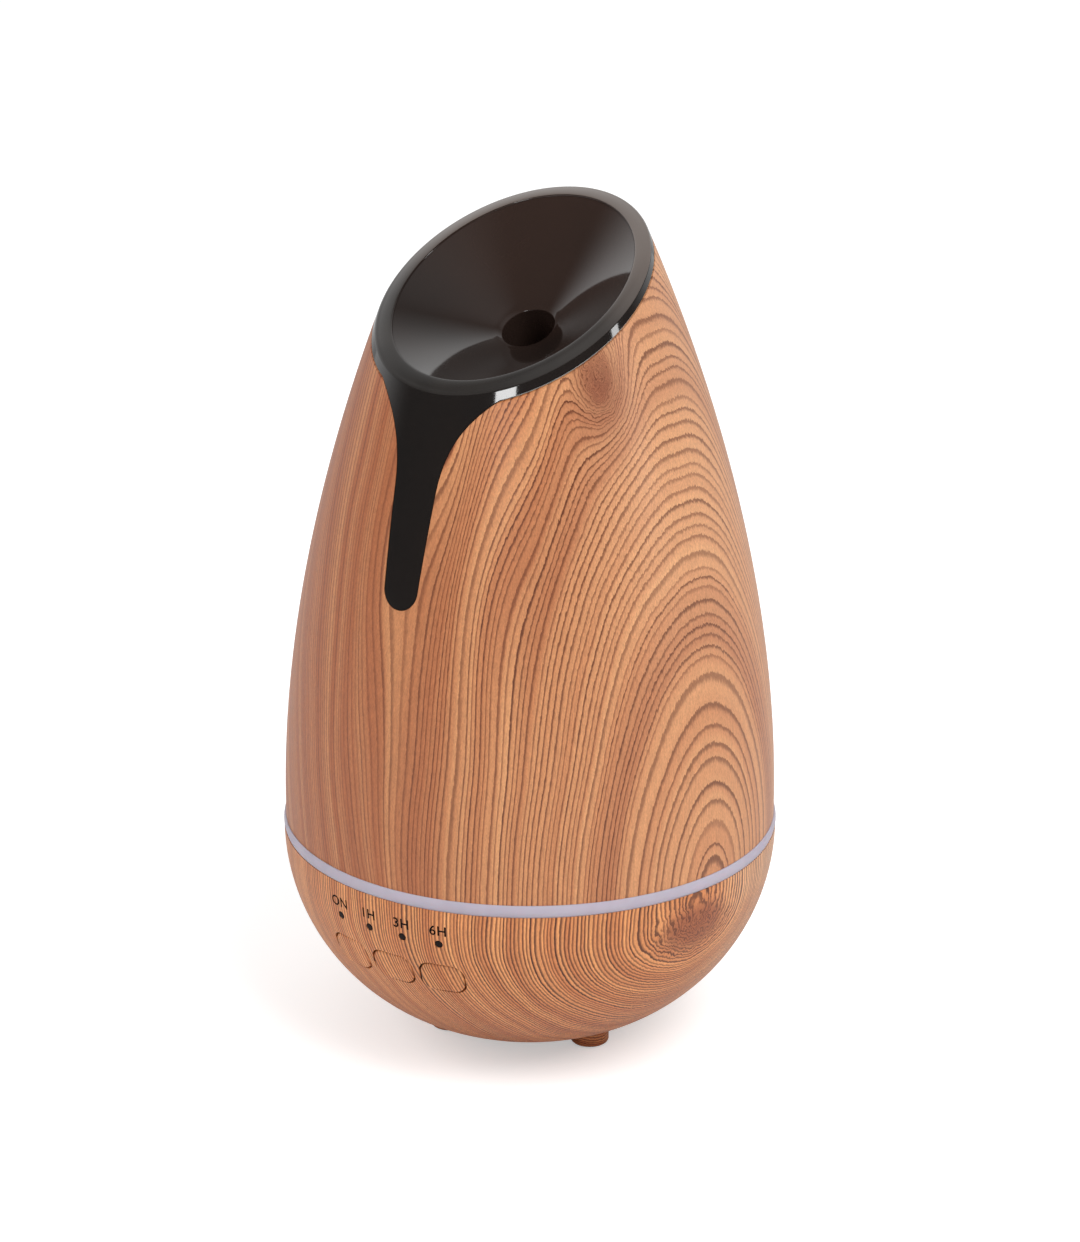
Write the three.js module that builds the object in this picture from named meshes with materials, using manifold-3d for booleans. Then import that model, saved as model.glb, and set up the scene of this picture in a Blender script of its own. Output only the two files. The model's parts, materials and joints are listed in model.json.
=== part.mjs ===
// An ultrasonic cool mist humidifier: an egg-shaped, wood-print housing on three pegs, with a
// slanted smoked funnel on top, a frosted light ring round its belt and three push buttons.
// Millimetres, +Z up, the buttons and the funnel's tongue face -Y, and the pegs stand on z = 0.
import * as THREE from "three";
import { mergeVertices } from "three/addons/utils/BufferGeometryUtils.js";
import Module from "manifold-3d";

const wasm = await Module();
wasm.setup();

// ---- driving dimensions -------------------------------------------------------------------

const ROUND = 36; // facets round the outer shells
const ROUND_MOUTH = 24; // facets round the funnel's mouth and hole
const ROUND_MID = 20; // facets round the tank and everything else inside the shells
const ROUND_PEG = 12; // facets round the pegs and their pads
const ROUND_SMALL = 10; // facets round posts and pins
const ROUND_HOLE = 8; // facets round screws and their holes
const COVER_STEPS = 8; // straight runs up the egg
const BOWL_STEPS = 7; // straight runs down the bowl
const SLIVER = 0.008; // edges shorter than this, left by booleans, are dropped
const GAP = 0.3; // between pieces that are pushed together
const SEAT = 0.05; // between pieces that rest on each other in a turned frame

// belt: the light ring between the bowl below and the cover above
const RING_RADIUS = 65;
const RING_HEIGHT = 3.2;
const RING_MIDDLE_Z = 60;
const RING_BOTTOM = RING_MIDDLE_Z - RING_HEIGHT / 2;
const RING_TOP = RING_MIDDLE_Z + RING_HEIGHT / 2;

// cover shell
const COVER_INSET = 0.6; // how far its lower edge stands inside the light ring
const COVER_WALL = 2.6;
const COVER_PEAK = 172; // height of the untrimmed egg above the belt

// slanted mist funnel
const RIM_TILT = THREE.MathUtils.degToRad(28.2);
const RIM_DROP = 22.9; // from the untrimmed peak down to the rim's plane, on the axis
const RIM_HEIGHT_ON_AXIS = RING_MIDDLE_Z + COVER_PEAK - RIM_DROP;
const RIM_WIDTH = 3.3; // flat ring round the funnel's mouth
const RIM_THICKNESS = 2.4;
const GASKET_THICKNESS = 0.5;
const FUNNEL_DEPTH = 14.3;
const FUNNEL_WALL = 1.8;
const MIST_HOLE_RADIUS = 6.9;
const THROAT_LENGTH = 6.5;
const SKIRT_DEPTH = 5;
const SKIRT_WALL = 1.4;
const TONGUE_LENGTH = 53.15; // from the rim's front edge down to the tip
const TONGUE_TIP_HALF = 4.95; // half width at the round end
const TONGUE_NECK_HALF = 6.1; // half width where the flare begins
const TONGUE_FLARE_LENGTH = 23.65; // from the rim's front edge down to where the flare begins
const TONGUE_FLARE_HALF = 19; // half width where it runs into the rim
const TONGUE_THICKNESS = 1.3;

// base bowl
const BOWL_INSET = 0.1;
const BOWL_WALL = 2.4;
const BOWL_FLOOR_Z = 3.2; // underside of the flat middle
const BOWL_FLOOR_RADIUS = 17;
const LEDGE_WIDTH = 1.6; // step inside the bowl's edge that carries the tank
const LEDGE_DROP = 2.4; // from the bowl's edge down to the step
const PEG_RADIUS = 5.1;
const PEG_CIRCLE = BOWL_FLOOR_RADIUS + 5.3;
const PEG_LIFT = 0.3; // the rubber pad stands this far below the peg
const PAD_RADIUS = 3.6;
const PAD_THICKNESS = 1.5;
const PEG_ANGLES = [80, 200, 320];
const BOSS_ANGLES = [18, 138, 258];
const BOSS_RADIUS = 4;
const BOSS_JOINT_Z = 24; // where the bowl's bosses meet the tank's
const SCREW_HEAD_Z = 13; // where a case screw's head bears on its boss
const SLOT_COUNT = 14;
const SLOT_WIDTH = 1.8;
const SLOT_INNER = 6;
const SLOT_OUTER = BOWL_FLOOR_RADIUS - 1;

// water tank
const TANK_WALL = 2;
const TANK_GASKET = 0.8;
const FLANGE_THICKNESS = LEDGE_DROP - TANK_GASKET;
const COLLAR_INSET = 4; // from the light ring's face in to the collar that the cover drops over
const COLLAR_RADIUS = RING_RADIUS - COLLAR_INSET;
const COLLAR_WALL = 2;
const COLLAR_HEIGHT = 7;
const COLLAR_TOP = RING_TOP + COLLAR_HEIGHT;
const BASIN_SHOULDER = 9; // flat step between the collar and the basin's mouth
const BASIN_MOUTH_RADIUS = COLLAR_RADIUS - COLLAR_WALL - BASIN_SHOULDER;
const BASIN_LEAN = 12; // how far the basin's wall leans in, from its mouth down to its floor
const BASIN_FLOOR_RADIUS = BASIN_MOUTH_RADIUS - BASIN_LEAN;
const BASIN_DEPTH = 22.4;
const BASIN_FLOOR_Z = RING_BOTTOM - BASIN_DEPTH; // floor height at its outer edge
const SUMP_RADIUS = 13;
const SUMP_DEPTH = 6;
const SUMP_Z = BASIN_FLOOR_Z - SUMP_DEPTH; // floor height round the transducer
const DUCT_OFFSET = BASIN_FLOOR_RADIUS;
const DUCT_RADIUS = 7.6;
const DUCT_WALL = 1.6;
const DUCT_HEIGHT = 46;
const DUCT_TOP = BASIN_FLOOR_Z + DUCT_HEIGHT;
const HOOD_CLEARANCE = 0.2;
const HOOD_WALL = 1.4;
const HOOD_HEIGHT = 10; // above the duct's end
const HOOD_GRIP = 6; // how far the hood reaches down over the duct
const HOOD_WINDOW_WIDTH = 10;
const HOOD_WINDOW_HEIGHT = 5;
const KEY_WIDTH = 4; // rib that lines the cover up with the buttons
const BOSS_CIRCLE = BASIN_FLOOR_RADIUS - 5;

// transducer under the tank
const DISC_RADIUS = 10;
const DISC_THICKNESS = 0.8;
const SEAL_RADIUS = 12;
const SEAL_HEIGHT = 4.5;
const SEAL_CLEARANCE = 0.15;
const SEAL_SEAT_WALL = 2.2; // tank wall and clamp round the seal
const SEAL_SEAT_DEPTH = 4;
const DISC_OPEN = 2; // width of the disc's edge that the tank's hole covers
const CLAMP_THICKNESS = 1.5;
const CLAMP_SCREW_CIRCLE = SEAL_RADIUS + 5.5;
const CLAMP_EAR = 3.2;

// screws: head radius and height, shank radius and length
const CASE_SCREW = { head: 2.8, thick: 2, shank: 1.4, length: 17 };
const CLAMP_SCREW = { head: 2.2, thick: 1.3, shank: 0.9, length: 5.6 };
const FAN_SCREW = { head: 2.6, thick: 1.6, shank: 1.1, length: 12 };
const BOARD_SCREW = { head: 2.4, thick: 1.5, shank: 1.1, length: 6.5 };
const PILOT_CLEARANCE = 0.1;
const SHANK_CLEARANCE = 0.4;

// fan
const FAN_SIZE = 40;
const FAN_HEIGHT = 10;
const FAN_Z = 9;
const FAN_RIM = 1; // wall left between the bore and the middle of each side
const FAN_BORE = FAN_SIZE / 2 - FAN_RIM;
const FAN_HUB = 10;
const FAN_HOLE_INSET = 4; // from the sides in to the screw holes
const FAN_HOLE_PITCH = FAN_SIZE - 2 * FAN_HOLE_INSET;
const FAN_TURN = THREE.MathUtils.degToRad(-12);
const BLADE_COUNT = 7;
const BLADE_CLEARANCE = 0.6;
const SHAFT_RADIUS = 1;
const BEARING_CLEARANCE = 0.06;

// boards
const BOARD_THICKNESS = 1.6;
const MAIN_BOARD_Z = 20;
const MAIN_BOARD_EDGE_GAP = 3.4; // from the bowl's wall to the board's outer edge
const MAIN_BOARD_WIDTH = 17.5;
const MAIN_BOARD_FROM = 147;
const MAIN_BOARD_TO = 249;
const LIGHT_BOARD_INNER = BASIN_MOUTH_RADIUS + TANK_WALL - 0.6;
const LIGHT_BOARD_WIDTH = 5.8;
const LIGHT_BOARD_OUTER = LIGHT_BOARD_INNER + LIGHT_BOARD_WIDTH;
const LIGHT_BOARD_GAP = 30; // half angle left open above the key board
const LIGHT_ANGLES = [60, 120, 180, 240, 300];
const LED_HEIGHT = 2;
const LIGHT_PEG = 0.8; // pin radius that the light board hangs on

// button panel: a flat board behind the bowl's front, square to a tilted press direction
const PANEL_Z = 38;
const PANEL_TILT = THREE.MathUtils.degToRad(25);
const BUTTON_ANGLE = 13.5; // between neighbouring buttons, round the bowl
const BUTTON_WIDTH = 11.6;
const BUTTON_HEIGHT = 8.6;
const BUTTON_CORNER = 3;
const BUTTON_PROUD = 0.4; // how far a cap stands out of the bowl
const BUTTON_LIP = 0.5;
const BUTTON_GAP = 0.4;
const BUTTON_TRAVEL = 0.5;
const KEY_BOARD_DEPTH = 11;
const KEY_POST_MARGIN = 8.4; // from an outer button's middle to the post beside it
const KEY_POST_Y = 2;
const KEY_BOARD_EDGE = 2.2; // from a post's middle to the key board's end
const SWITCH_SIZE = 6;
const SWITCH_HEIGHT = 3.5;
const PLUNGER_RADIUS = 1.7;
const PLUNGER_HEIGHT = 1.2;
const STEM_RADIUS = 1.3;
const LENS_RADIUS = 1;
const LENS_ANGLE = 9.25; // between neighbouring indicator lights
const LENS_Z = 49;

// power inlet
const JACK_WIDTH = 9;
const JACK_HEIGHT = 10.5;
const JACK_LENGTH = 13;
const JACK_SETBACK = 6.4; // from the inside of the bowl's wall to the block's front
const JACK_NOSE = 4.2;
const JACK_BORE = 3.15;

// ---- materials ------------------------------------------------------------------------------

const plain = (color, roughness, metalness = 0) =>
  new THREE.MeshStandardMaterial({ color, roughness, metalness });
const WOOD_PRINT = plain("#c58a5e", 0.5);
const SMOKED = plain("#1d1714", 0.12);
const FROSTED = plain("#cfc8d4", 0.4);
const TANK_WHITE = plain("#e9e7e2", 0.35);
const SILICONE = plain("#c9c7c2", 0.7);
const RUBBER = plain("#2a2927", 0.8);
const BOARD_GREEN = plain("#1f5b38", 0.45);
const BLACK_PLASTIC = plain("#1b1b1c", 0.4);
const STEEL = plain("#b4b6b8", 0.3, 1);
const ALUMINIUM = plain("#c3c5c7", 0.35, 1);
const COPPER = plain("#b5703c", 0.35, 1);
const CERAMIC = plain("#d9d3c2", 0.35);
const LED_WHITE = plain("#efe9cf", 0.3);

// ---- solids ---------------------------------------------------------------------------------

/** A three.js geometry as a manifold-3d solid. */
function solid(geometry) {
  const bare = new THREE.BufferGeometry();
  bare.setAttribute("position", geometry.getAttribute("position"));
  if (geometry.index) bare.setIndex(geometry.index);
  const merged = mergeVertices(bare, 1e-4);
  return new wasm.Manifold(
    new wasm.Mesh({
      numProp: 3,
      vertProperties: Float32Array.from(merged.attributes.position.array),
      triVerts: Uint32Array.from(merged.index.array),
    }),
  );
}

/** A named mesh of a solid. */
function mesh(name, body, material) {
  const { numProp, numVert, vertProperties, triVerts } = body.simplify(SLIVER).getMesh();
  const positions = new Float32Array(numVert * 3);
  for (let i = 0; i < numVert; i++) {
    positions.set(vertProperties.subarray(i * numProp, i * numProp + 3), i * 3);
  }
  const geometry = new THREE.BufferGeometry();
  geometry.setAttribute("position", new THREE.BufferAttribute(positions, 3));
  geometry.setIndex(new THREE.BufferAttribute(triVerts, 1));
  geometry.computeVertexNormals();
  const made = new THREE.Mesh(geometry, material);
  made.name = name;
  return made;
}

const union = (...bodies) => bodies.reduce((a, b) => a.add(b));
const cut = (body, ...tools) => tools.reduce((a, b) => a.subtract(b), body);
const radians = THREE.MathUtils.degToRad;

/** The point at an angle from the front, going towards +X, on a circle round the axis. */
function polar(radius, degrees, z = 0) {
  const a = radians(degrees);
  return new THREE.Vector3(radius * Math.sin(a), -radius * Math.cos(a), z);
}

/** A solid of revolution round +Z from [radius, z] pairs: a closed loop, or one that starts and ends on the axis. */
function revolve(profile, facets = ROUND) {
  const points = profile.map(([r, z]) => new THREE.Vector2(r, z));
  if (THREE.ShapeUtils.area(points) > 0) points.reverse();
  const onAxis = points.some((p) => p.x === 0);
  if (onAxis) {
    while (!(points[0].x === 0 && points.at(-1).x === 0)) points.push(points.shift());
  } else {
    points.push(points[0].clone());
  }
  return solid(new THREE.LatheGeometry(points.reverse(), facets).rotateX(Math.PI / 2));
}

/** An upright cylinder between two heights. */
function cylinder(radius, from, to, facets = ROUND_SMALL, x = 0, y = 0) {
  const shape = new THREE.CylinderGeometry(radius, radius, to - from, facets);
  return solid(shape.rotateX(Math.PI / 2).translate(x, y, (from + to) / 2));
}

/** A tube between two heights. */
function tube(outer, inner, from, to, facets = ROUND_MID) {
  return revolve([[inner, from], [outer, from], [outer, to], [inner, to]], facets);
}

/** A box from its lowest corner and its size. */
function box(x, y, z, width, depth, height) {
  const shape = new THREE.BoxGeometry(width, depth, height);
  return solid(shape.translate(x + width / 2, y + depth / 2, z + height / 2));
}

/** A flat outline made solid between two heights. */
function slab(shape, from, to, curveSegments = 8) {
  const extruded = new THREE.ExtrudeGeometry(shape, { depth: to - from, bevelEnabled: false, curveSegments });
  return solid(extruded.translate(0, 0, from));
}

/** A closed solid through rings of points: each ring runs out along one side and back along the other. */
function loft(rings) {
  const count = rings[0].length;
  const positions = rings.flat().flatMap((p) => [p.x, p.y, p.z]);
  const index = [];
  for (let ring = 0; ring + 1 < rings.length; ring++) {
    for (let i = 0; i < count; i++) {
      const a = ring * count + i;
      const b = ring * count + ((i + 1) % count);
      index.push(a, b, b + count, a, b + count, a + count);
    }
  }
  const last = (rings.length - 1) * count;
  for (let i = 0; i + 1 < count / 2; i++) {
    const [a, b, c, d] = [i, i + 1, count - 2 - i, count - 1 - i];
    index.push(a, c, b, a, d, c);
    index.push(last + a, last + b, last + c, last + a, last + c, last + d);
  }
  const geometry = new THREE.BufferGeometry();
  geometry.setAttribute("position", new THREE.Float32BufferAttribute(positions, 3));
  geometry.setIndex(index);
  return solid(geometry);
}

/** A ring of points on an ellipse at a height. */
function ellipse(halfX, halfY, z, count = ROUND_MOUTH) {
  return Array.from({ length: count }, (_, i) => {
    const a = (2 * Math.PI * i) / count;
    return new THREE.Vector3(halfX * Math.cos(a), halfY * Math.sin(a), z);
  });
}

const placed = (body, matrix) => body.transform(matrix.toArray());

// ---- housing outline --------------------------------------------------------------------------

/** The egg above the belt, as points from its lower edge up to its untrimmed peak. */
const coverCurve = new THREE.CubicBezierCurve(
  new THREE.Vector2(RING_RADIUS - COVER_INSET, RING_TOP),
  new THREE.Vector2(RING_RADIUS + 0.2, RING_MIDDLE_Z + 0.419 * COVER_PEAK),
  new THREE.Vector2(0.6 * RING_RADIUS, RING_MIDDLE_Z + 0.807 * COVER_PEAK),
  new THREE.Vector2(0.36 * RING_RADIUS, RING_MIDDLE_Z + COVER_PEAK),
);

/** The bowl below the belt, from its edge down to its flat floor. */
const BOWL_DEPTH = RING_BOTTOM - BOWL_FLOOR_Z;
const bowlCurve = new THREE.CubicBezierCurve(
  new THREE.Vector2(RING_RADIUS - BOWL_INSET, RING_BOTTOM),
  new THREE.Vector2(RING_RADIUS - BOWL_INSET, RING_BOTTOM - 0.46 * BOWL_DEPTH),
  new THREE.Vector2(0.715 * RING_RADIUS, RING_BOTTOM - 0.915 * BOWL_DEPTH),
  new THREE.Vector2(BOWL_FLOOR_RADIUS, BOWL_FLOOR_Z),
);

/** A curve's points moved towards the axis, square to the curve. */
function inward(curve, distance, steps) {
  return Array.from({ length: steps + 1 }, (_, i) => {
    const at = curve.getPoint(i / steps);
    const along = curve.getTangent(i / steps);
    const side = Math.sign(along.y) * distance;
    return [at.x - along.y * side, at.y + along.x * side];
  });
}

/** A curve's radius at a height. */
function radiusAt(curve, z) {
  let low = 0;
  let high = 1;
  const rising = curve.getPoint(1).y > curve.getPoint(0).y;
  for (let i = 0; i < 40; i++) {
    const middle = (low + high) / 2;
    const above = curve.getPoint(middle).y > z;
    if (above === rising) high = middle;
    else low = middle;
  }
  return curve.getPoint(low).x;
}

/** The egg moved inward by a distance, as a solid that fills it down to its lower edge. */
function coverSolid(distance) {
  const facets = distance < COVER_WALL ? ROUND : ROUND_MID;
  const wall = inward(coverCurve, distance, COVER_STEPS);
  wall[0][1] = RING_TOP;
  const top = wall.at(-1)[1];
  return revolve([[0, RING_TOP], ...wall, [0, top]], facets);
}

/** The bowl's outer form moved inward by a distance, as a solid up to its edge. */
function bowlSolid(distance) {
  const facets = distance < BOWL_WALL ? ROUND : ROUND_MID;
  const wall = inward(bowlCurve, distance, BOWL_STEPS);
  wall[0][1] = RING_BOTTOM;
  const floor = wall.at(-1)[1];
  return revolve([[0, RING_BOTTOM], ...wall, [0, floor]], facets);
}

// ---- slanted frame of the mist funnel -----------------------------------------------------------

/** Where the rim's plane meets the egg, on the front (-1) or the back (1). */
function rimPoint(side) {
  let low = RING_TOP;
  let high = RING_MIDDLE_Z + COVER_PEAK;
  for (let i = 0; i < 40; i++) {
    const z = (low + high) / 2;
    const y = side * radiusAt(coverCurve, z);
    if (RIM_HEIGHT_ON_AXIS + y * Math.tan(RIM_TILT) > z) low = z;
    else high = z;
  }
  return new THREE.Vector3(0, side * radiusAt(coverCurve, low), low);
}
const rimFront = rimPoint(-1);
const rimBack = rimPoint(1);
const rimCentre = rimFront.clone().add(rimBack).multiplyScalar(0.5);
const rimHalfLength = rimFront.distanceTo(rimBack) / 2;
const rimHalfWidth = Math.sqrt(radiusAt(coverCurve, rimCentre.z) ** 2 - rimCentre.y ** 2);
const slant = new THREE.Matrix4()
  .makeRotationX(RIM_TILT)
  .setPosition(rimCentre);

/** Everything between two depths below the rim's plane. */
function slantedLayer(from, to) {
  const reach = 3 * RING_RADIUS;
  return placed(box(-reach, -reach, -to, 2 * reach, 2 * reach, to - from), slant);
}

// ---- cover ------------------------------------------------------------------------------------

/** The tongue's outline seen from the front, grown by a margin, as a solid that runs through the front wall. */
function tongueSolid(margin = 0) {
  const tip = TONGUE_TIP_HALF + margin;
  const neck = TONGUE_NECK_HALF + margin;
  const flare = TONGUE_FLARE_HALF + margin;
  const arcZ = rimFront.z - TONGUE_LENGTH + TONGUE_TIP_HALF;
  const neckZ = rimFront.z - TONGUE_FLARE_LENGTH;
  const flareZ = rimFront.z - margin + 0.2;
  const top = rimFront.z + 3 * RIM_THICKNESS;
  const shape = new THREE.Shape();
  shape.moveTo(-tip, arcZ);
  shape.absarc(0, arcZ, tip, Math.PI, 2 * Math.PI, false);
  shape.lineTo(neck, neckZ);
  shape.bezierCurveTo(neck + 0.5, neckZ + 9, neck + 3.5, flareZ - 7, flare, flareZ);
  shape.lineTo(flare, top);
  shape.lineTo(-flare, top);
  shape.lineTo(-flare, flareZ);
  shape.bezierCurveTo(-neck - 3.5, flareZ - 7, -neck - 0.5, neckZ + 9, -neck, neckZ);
  shape.closePath();
  const turned = new THREE.Matrix4().makeRotationX(Math.PI / 2);
  return placed(slab(shape, 0, 1.5 * RING_RADIUS, 7), turned);
}

const rimOuter = coverSolid(0);

/** The wood-print shell: an egg trimmed by the rim's plane, with a pocket for the tongue and a keyway at the back. */
function coverShell() {
  const cavity = union(
    coverSolid(COVER_WALL),
    cylinder(radiusAt(coverCurve, RING_TOP) - COVER_WALL, RING_TOP - 1, RING_TOP + 1, ROUND_MID),
  );
  const pocket = cut(
    tongueSolid(0.15).intersect(coverSolid(-1)),
    coverSolid(TONGUE_THICKNESS + 0.15),
  );
  const keyway = box(
    -KEY_WIDTH / 2 - GAP, COLLAR_RADIUS - 1, RING_TOP - 1,
    KEY_WIDTH + 2 * GAP, 2.2, COLLAR_TOP - RING_TOP + 2,
  );
  return cut(
    rimOuter,
    cavity,
    slantedLayer(-3 * RING_RADIUS, RIM_THICKNESS + GASKET_THICKNESS),
    pocket,
    keyway,
  );
}

/** The smoked funnel: rim, cone, throat, skirt and the tongue down the front. */
function mistFunnel() {
  const rim = rimOuter.intersect(slantedLayer(0, RIM_THICKNESS));
  const mouthX = rimHalfWidth - RIM_WIDTH;
  const mouthY = rimHalfLength - RIM_WIDTH;
  const hole = MIST_HOLE_RADIUS;
  const outside = hole + FUNNEL_WALL;
  const throatEnd = -FUNNEL_DEPTH - THROAT_LENGTH;
  const hollow = loft([
    ellipse(hole, hole, throatEnd - 1),
    ellipse(hole, hole, -FUNNEL_DEPTH),
    ellipse(mouthX, mouthY, -0.5),
    ellipse(mouthX + 0.8, mouthY + 0.8, 0.5),
  ]);
  const cone = loft([
    ellipse(outside, outside, throatEnd),
    ellipse(outside, outside, -FUNNEL_DEPTH - FUNNEL_WALL),
    ellipse(mouthX, mouthY, -0.5 - FUNNEL_WALL),
    ellipse(mouthX, mouthY, -0.5),
  ]);
  const skirt = cut(
    coverSolid(COVER_WALL + GAP),
    coverSolid(COVER_WALL + GAP + SKIRT_WALL),
  ).intersect(slantedLayer(RIM_THICKNESS - 0.2, RIM_THICKNESS + SKIRT_DEPTH));
  const tongue = cut(
    tongueSolid().intersect(rimOuter),
    coverSolid(TONGUE_THICKNESS),
    slantedLayer(-3 * RING_RADIUS, RIM_THICKNESS / 2),
  );
  return cut(union(rim, placed(cone, slant), skirt, tongue), placed(hollow, slant));
}

/** The soft seal between the rim's underside and the shell's trimmed edge. */
function funnelGasket() {
  const band = cut(coverSolid(0.5), coverSolid(COVER_WALL - GAP));
  const layer = slantedLayer(RIM_THICKNESS + SEAT, RIM_THICKNESS + GASKET_THICKNESS - SEAT);
  const tongue = cut(tongueSolid(0.15), coverSolid(TONGUE_THICKNESS + 0.15));
  return cut(band.intersect(layer), tongue);
}

// ---- base bowl ----------------------------------------------------------------------------------

const fanTop = FAN_Z + FAN_HEIGHT;
const panelRadius = radiusAt(bowlCurve, PANEL_Z);
/** The button panel's frame: local +X to the right, +Y up the bowl, +Z out along the press direction. */
const panel = new THREE.Matrix4()
  .makeRotationX(Math.PI / 2 + PANEL_TILT)
  .setPosition(0, -panelRadius, PANEL_Z);
const onPanel = (body) => placed(body, panel);

/** A button's own frame: the panel's, turned round the bowl to face straight out where the button is. */
function buttonFrame(index) {
  return new THREE.Matrix4().makeRotationZ(radians(BUTTON_ANGLE * (index - 1))).multiply(panel);
}
const onButton = (index, body) => placed(body, buttonFrame(index));

/** Where a button's axis meets a depth in the panel's frame. */
function buttonAxisAt(index, depth) {
  const local = panel.clone().invert().multiply(buttonFrame(index));
  const origin = new THREE.Vector3().applyMatrix4(local);
  const along = new THREE.Vector3(0, 0, 1).transformDirection(local);
  return origin.addScaledVector(along, (depth - origin.z) / along.z);
}
const lensRadius = radiusAt(bowlCurve, LENS_Z);
const lensX = (index) => lensRadius * Math.sin(radians(LENS_ANGLE * (index - 1.5)));

/** How far up the panel an indicator light leaves the bowl. */
function lensY(index) {
  const at = new THREE.Vector3(lensX(index), -Math.sqrt(lensRadius ** 2 - lensX(index) ** 2), LENS_Z);
  return at.applyMatrix4(panel.clone().invert()).y;
}
const lensRow = (lensY(1) + lensY(0)) / 2;

/** A rectangle with round corners, centred on the origin. */
function roundedRectangle(width, height, corner) {
  const x = width / 2 - corner;
  const y = height / 2 - corner;
  const shape = new THREE.Shape();
  shape.moveTo(-x, -y - corner);
  shape.absarc(x, -y, corner, -Math.PI / 2, 0, false);
  shape.absarc(x, y, corner, 0, Math.PI / 2, false);
  shape.absarc(-x, y, corner, Math.PI / 2, Math.PI, false);
  shape.absarc(-x, -y, corner, Math.PI, 1.5 * Math.PI, false);
  return shape;
}

/** A button's outline, grown by a margin. */
const buttonShape = (margin = 0) =>
  roundedRectangle(BUTTON_WIDTH + 2 * margin, BUTTON_HEIGHT + 2 * margin, BUTTON_CORNER + margin);

const keyPostX = panelRadius * Math.sin(radians(BUTTON_ANGLE)) + KEY_POST_MARGIN;
const keyPosts = [-1, 1].map((side) => [side * keyPostX, KEY_POST_Y]);
const mainBoardOuter = radiusAt(bowlCurve, MAIN_BOARD_Z) - BOWL_WALL - MAIN_BOARD_EDGE_GAP;
const mainBoardInner = mainBoardOuter - MAIN_BOARD_WIDTH;
const mainBoardTop = MAIN_BOARD_Z + BOARD_THICKNESS;
const boardPosts = [160, 236].map((angle) => polar(mainBoardOuter - 5, angle));
const jackCentreZ = mainBoardTop + 6.2;
const jackFront = radiusAt(bowlCurve, jackCentreZ) - BOWL_WALL - JACK_SETBACK;
const fanHoles = [[1, 1], [-1, 1], [-1, -1], [1, -1]].map(([x, y]) =>
  new THREE.Vector3((x * FAN_HOLE_PITCH) / 2, (y * FAN_HOLE_PITCH) / 2, 0)
    .applyAxisAngle(new THREE.Vector3(0, 0, 1), FAN_TURN),
);

/** The peg's rounded form under the bowl. */
function peg() {
  const round = 0.9;
  const from = PEG_LIFT;
  return revolve([
    [0, from],
    [PEG_RADIUS - round, from],
    [PEG_RADIUS - 0.35 * round, from + 0.35 * round],
    [PEG_RADIUS, from + round],
    [PEG_RADIUS, BOWL_FLOOR_Z + 6],
    [0, BOWL_FLOOR_Z + 6],
  ], ROUND_PEG);
}

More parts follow.
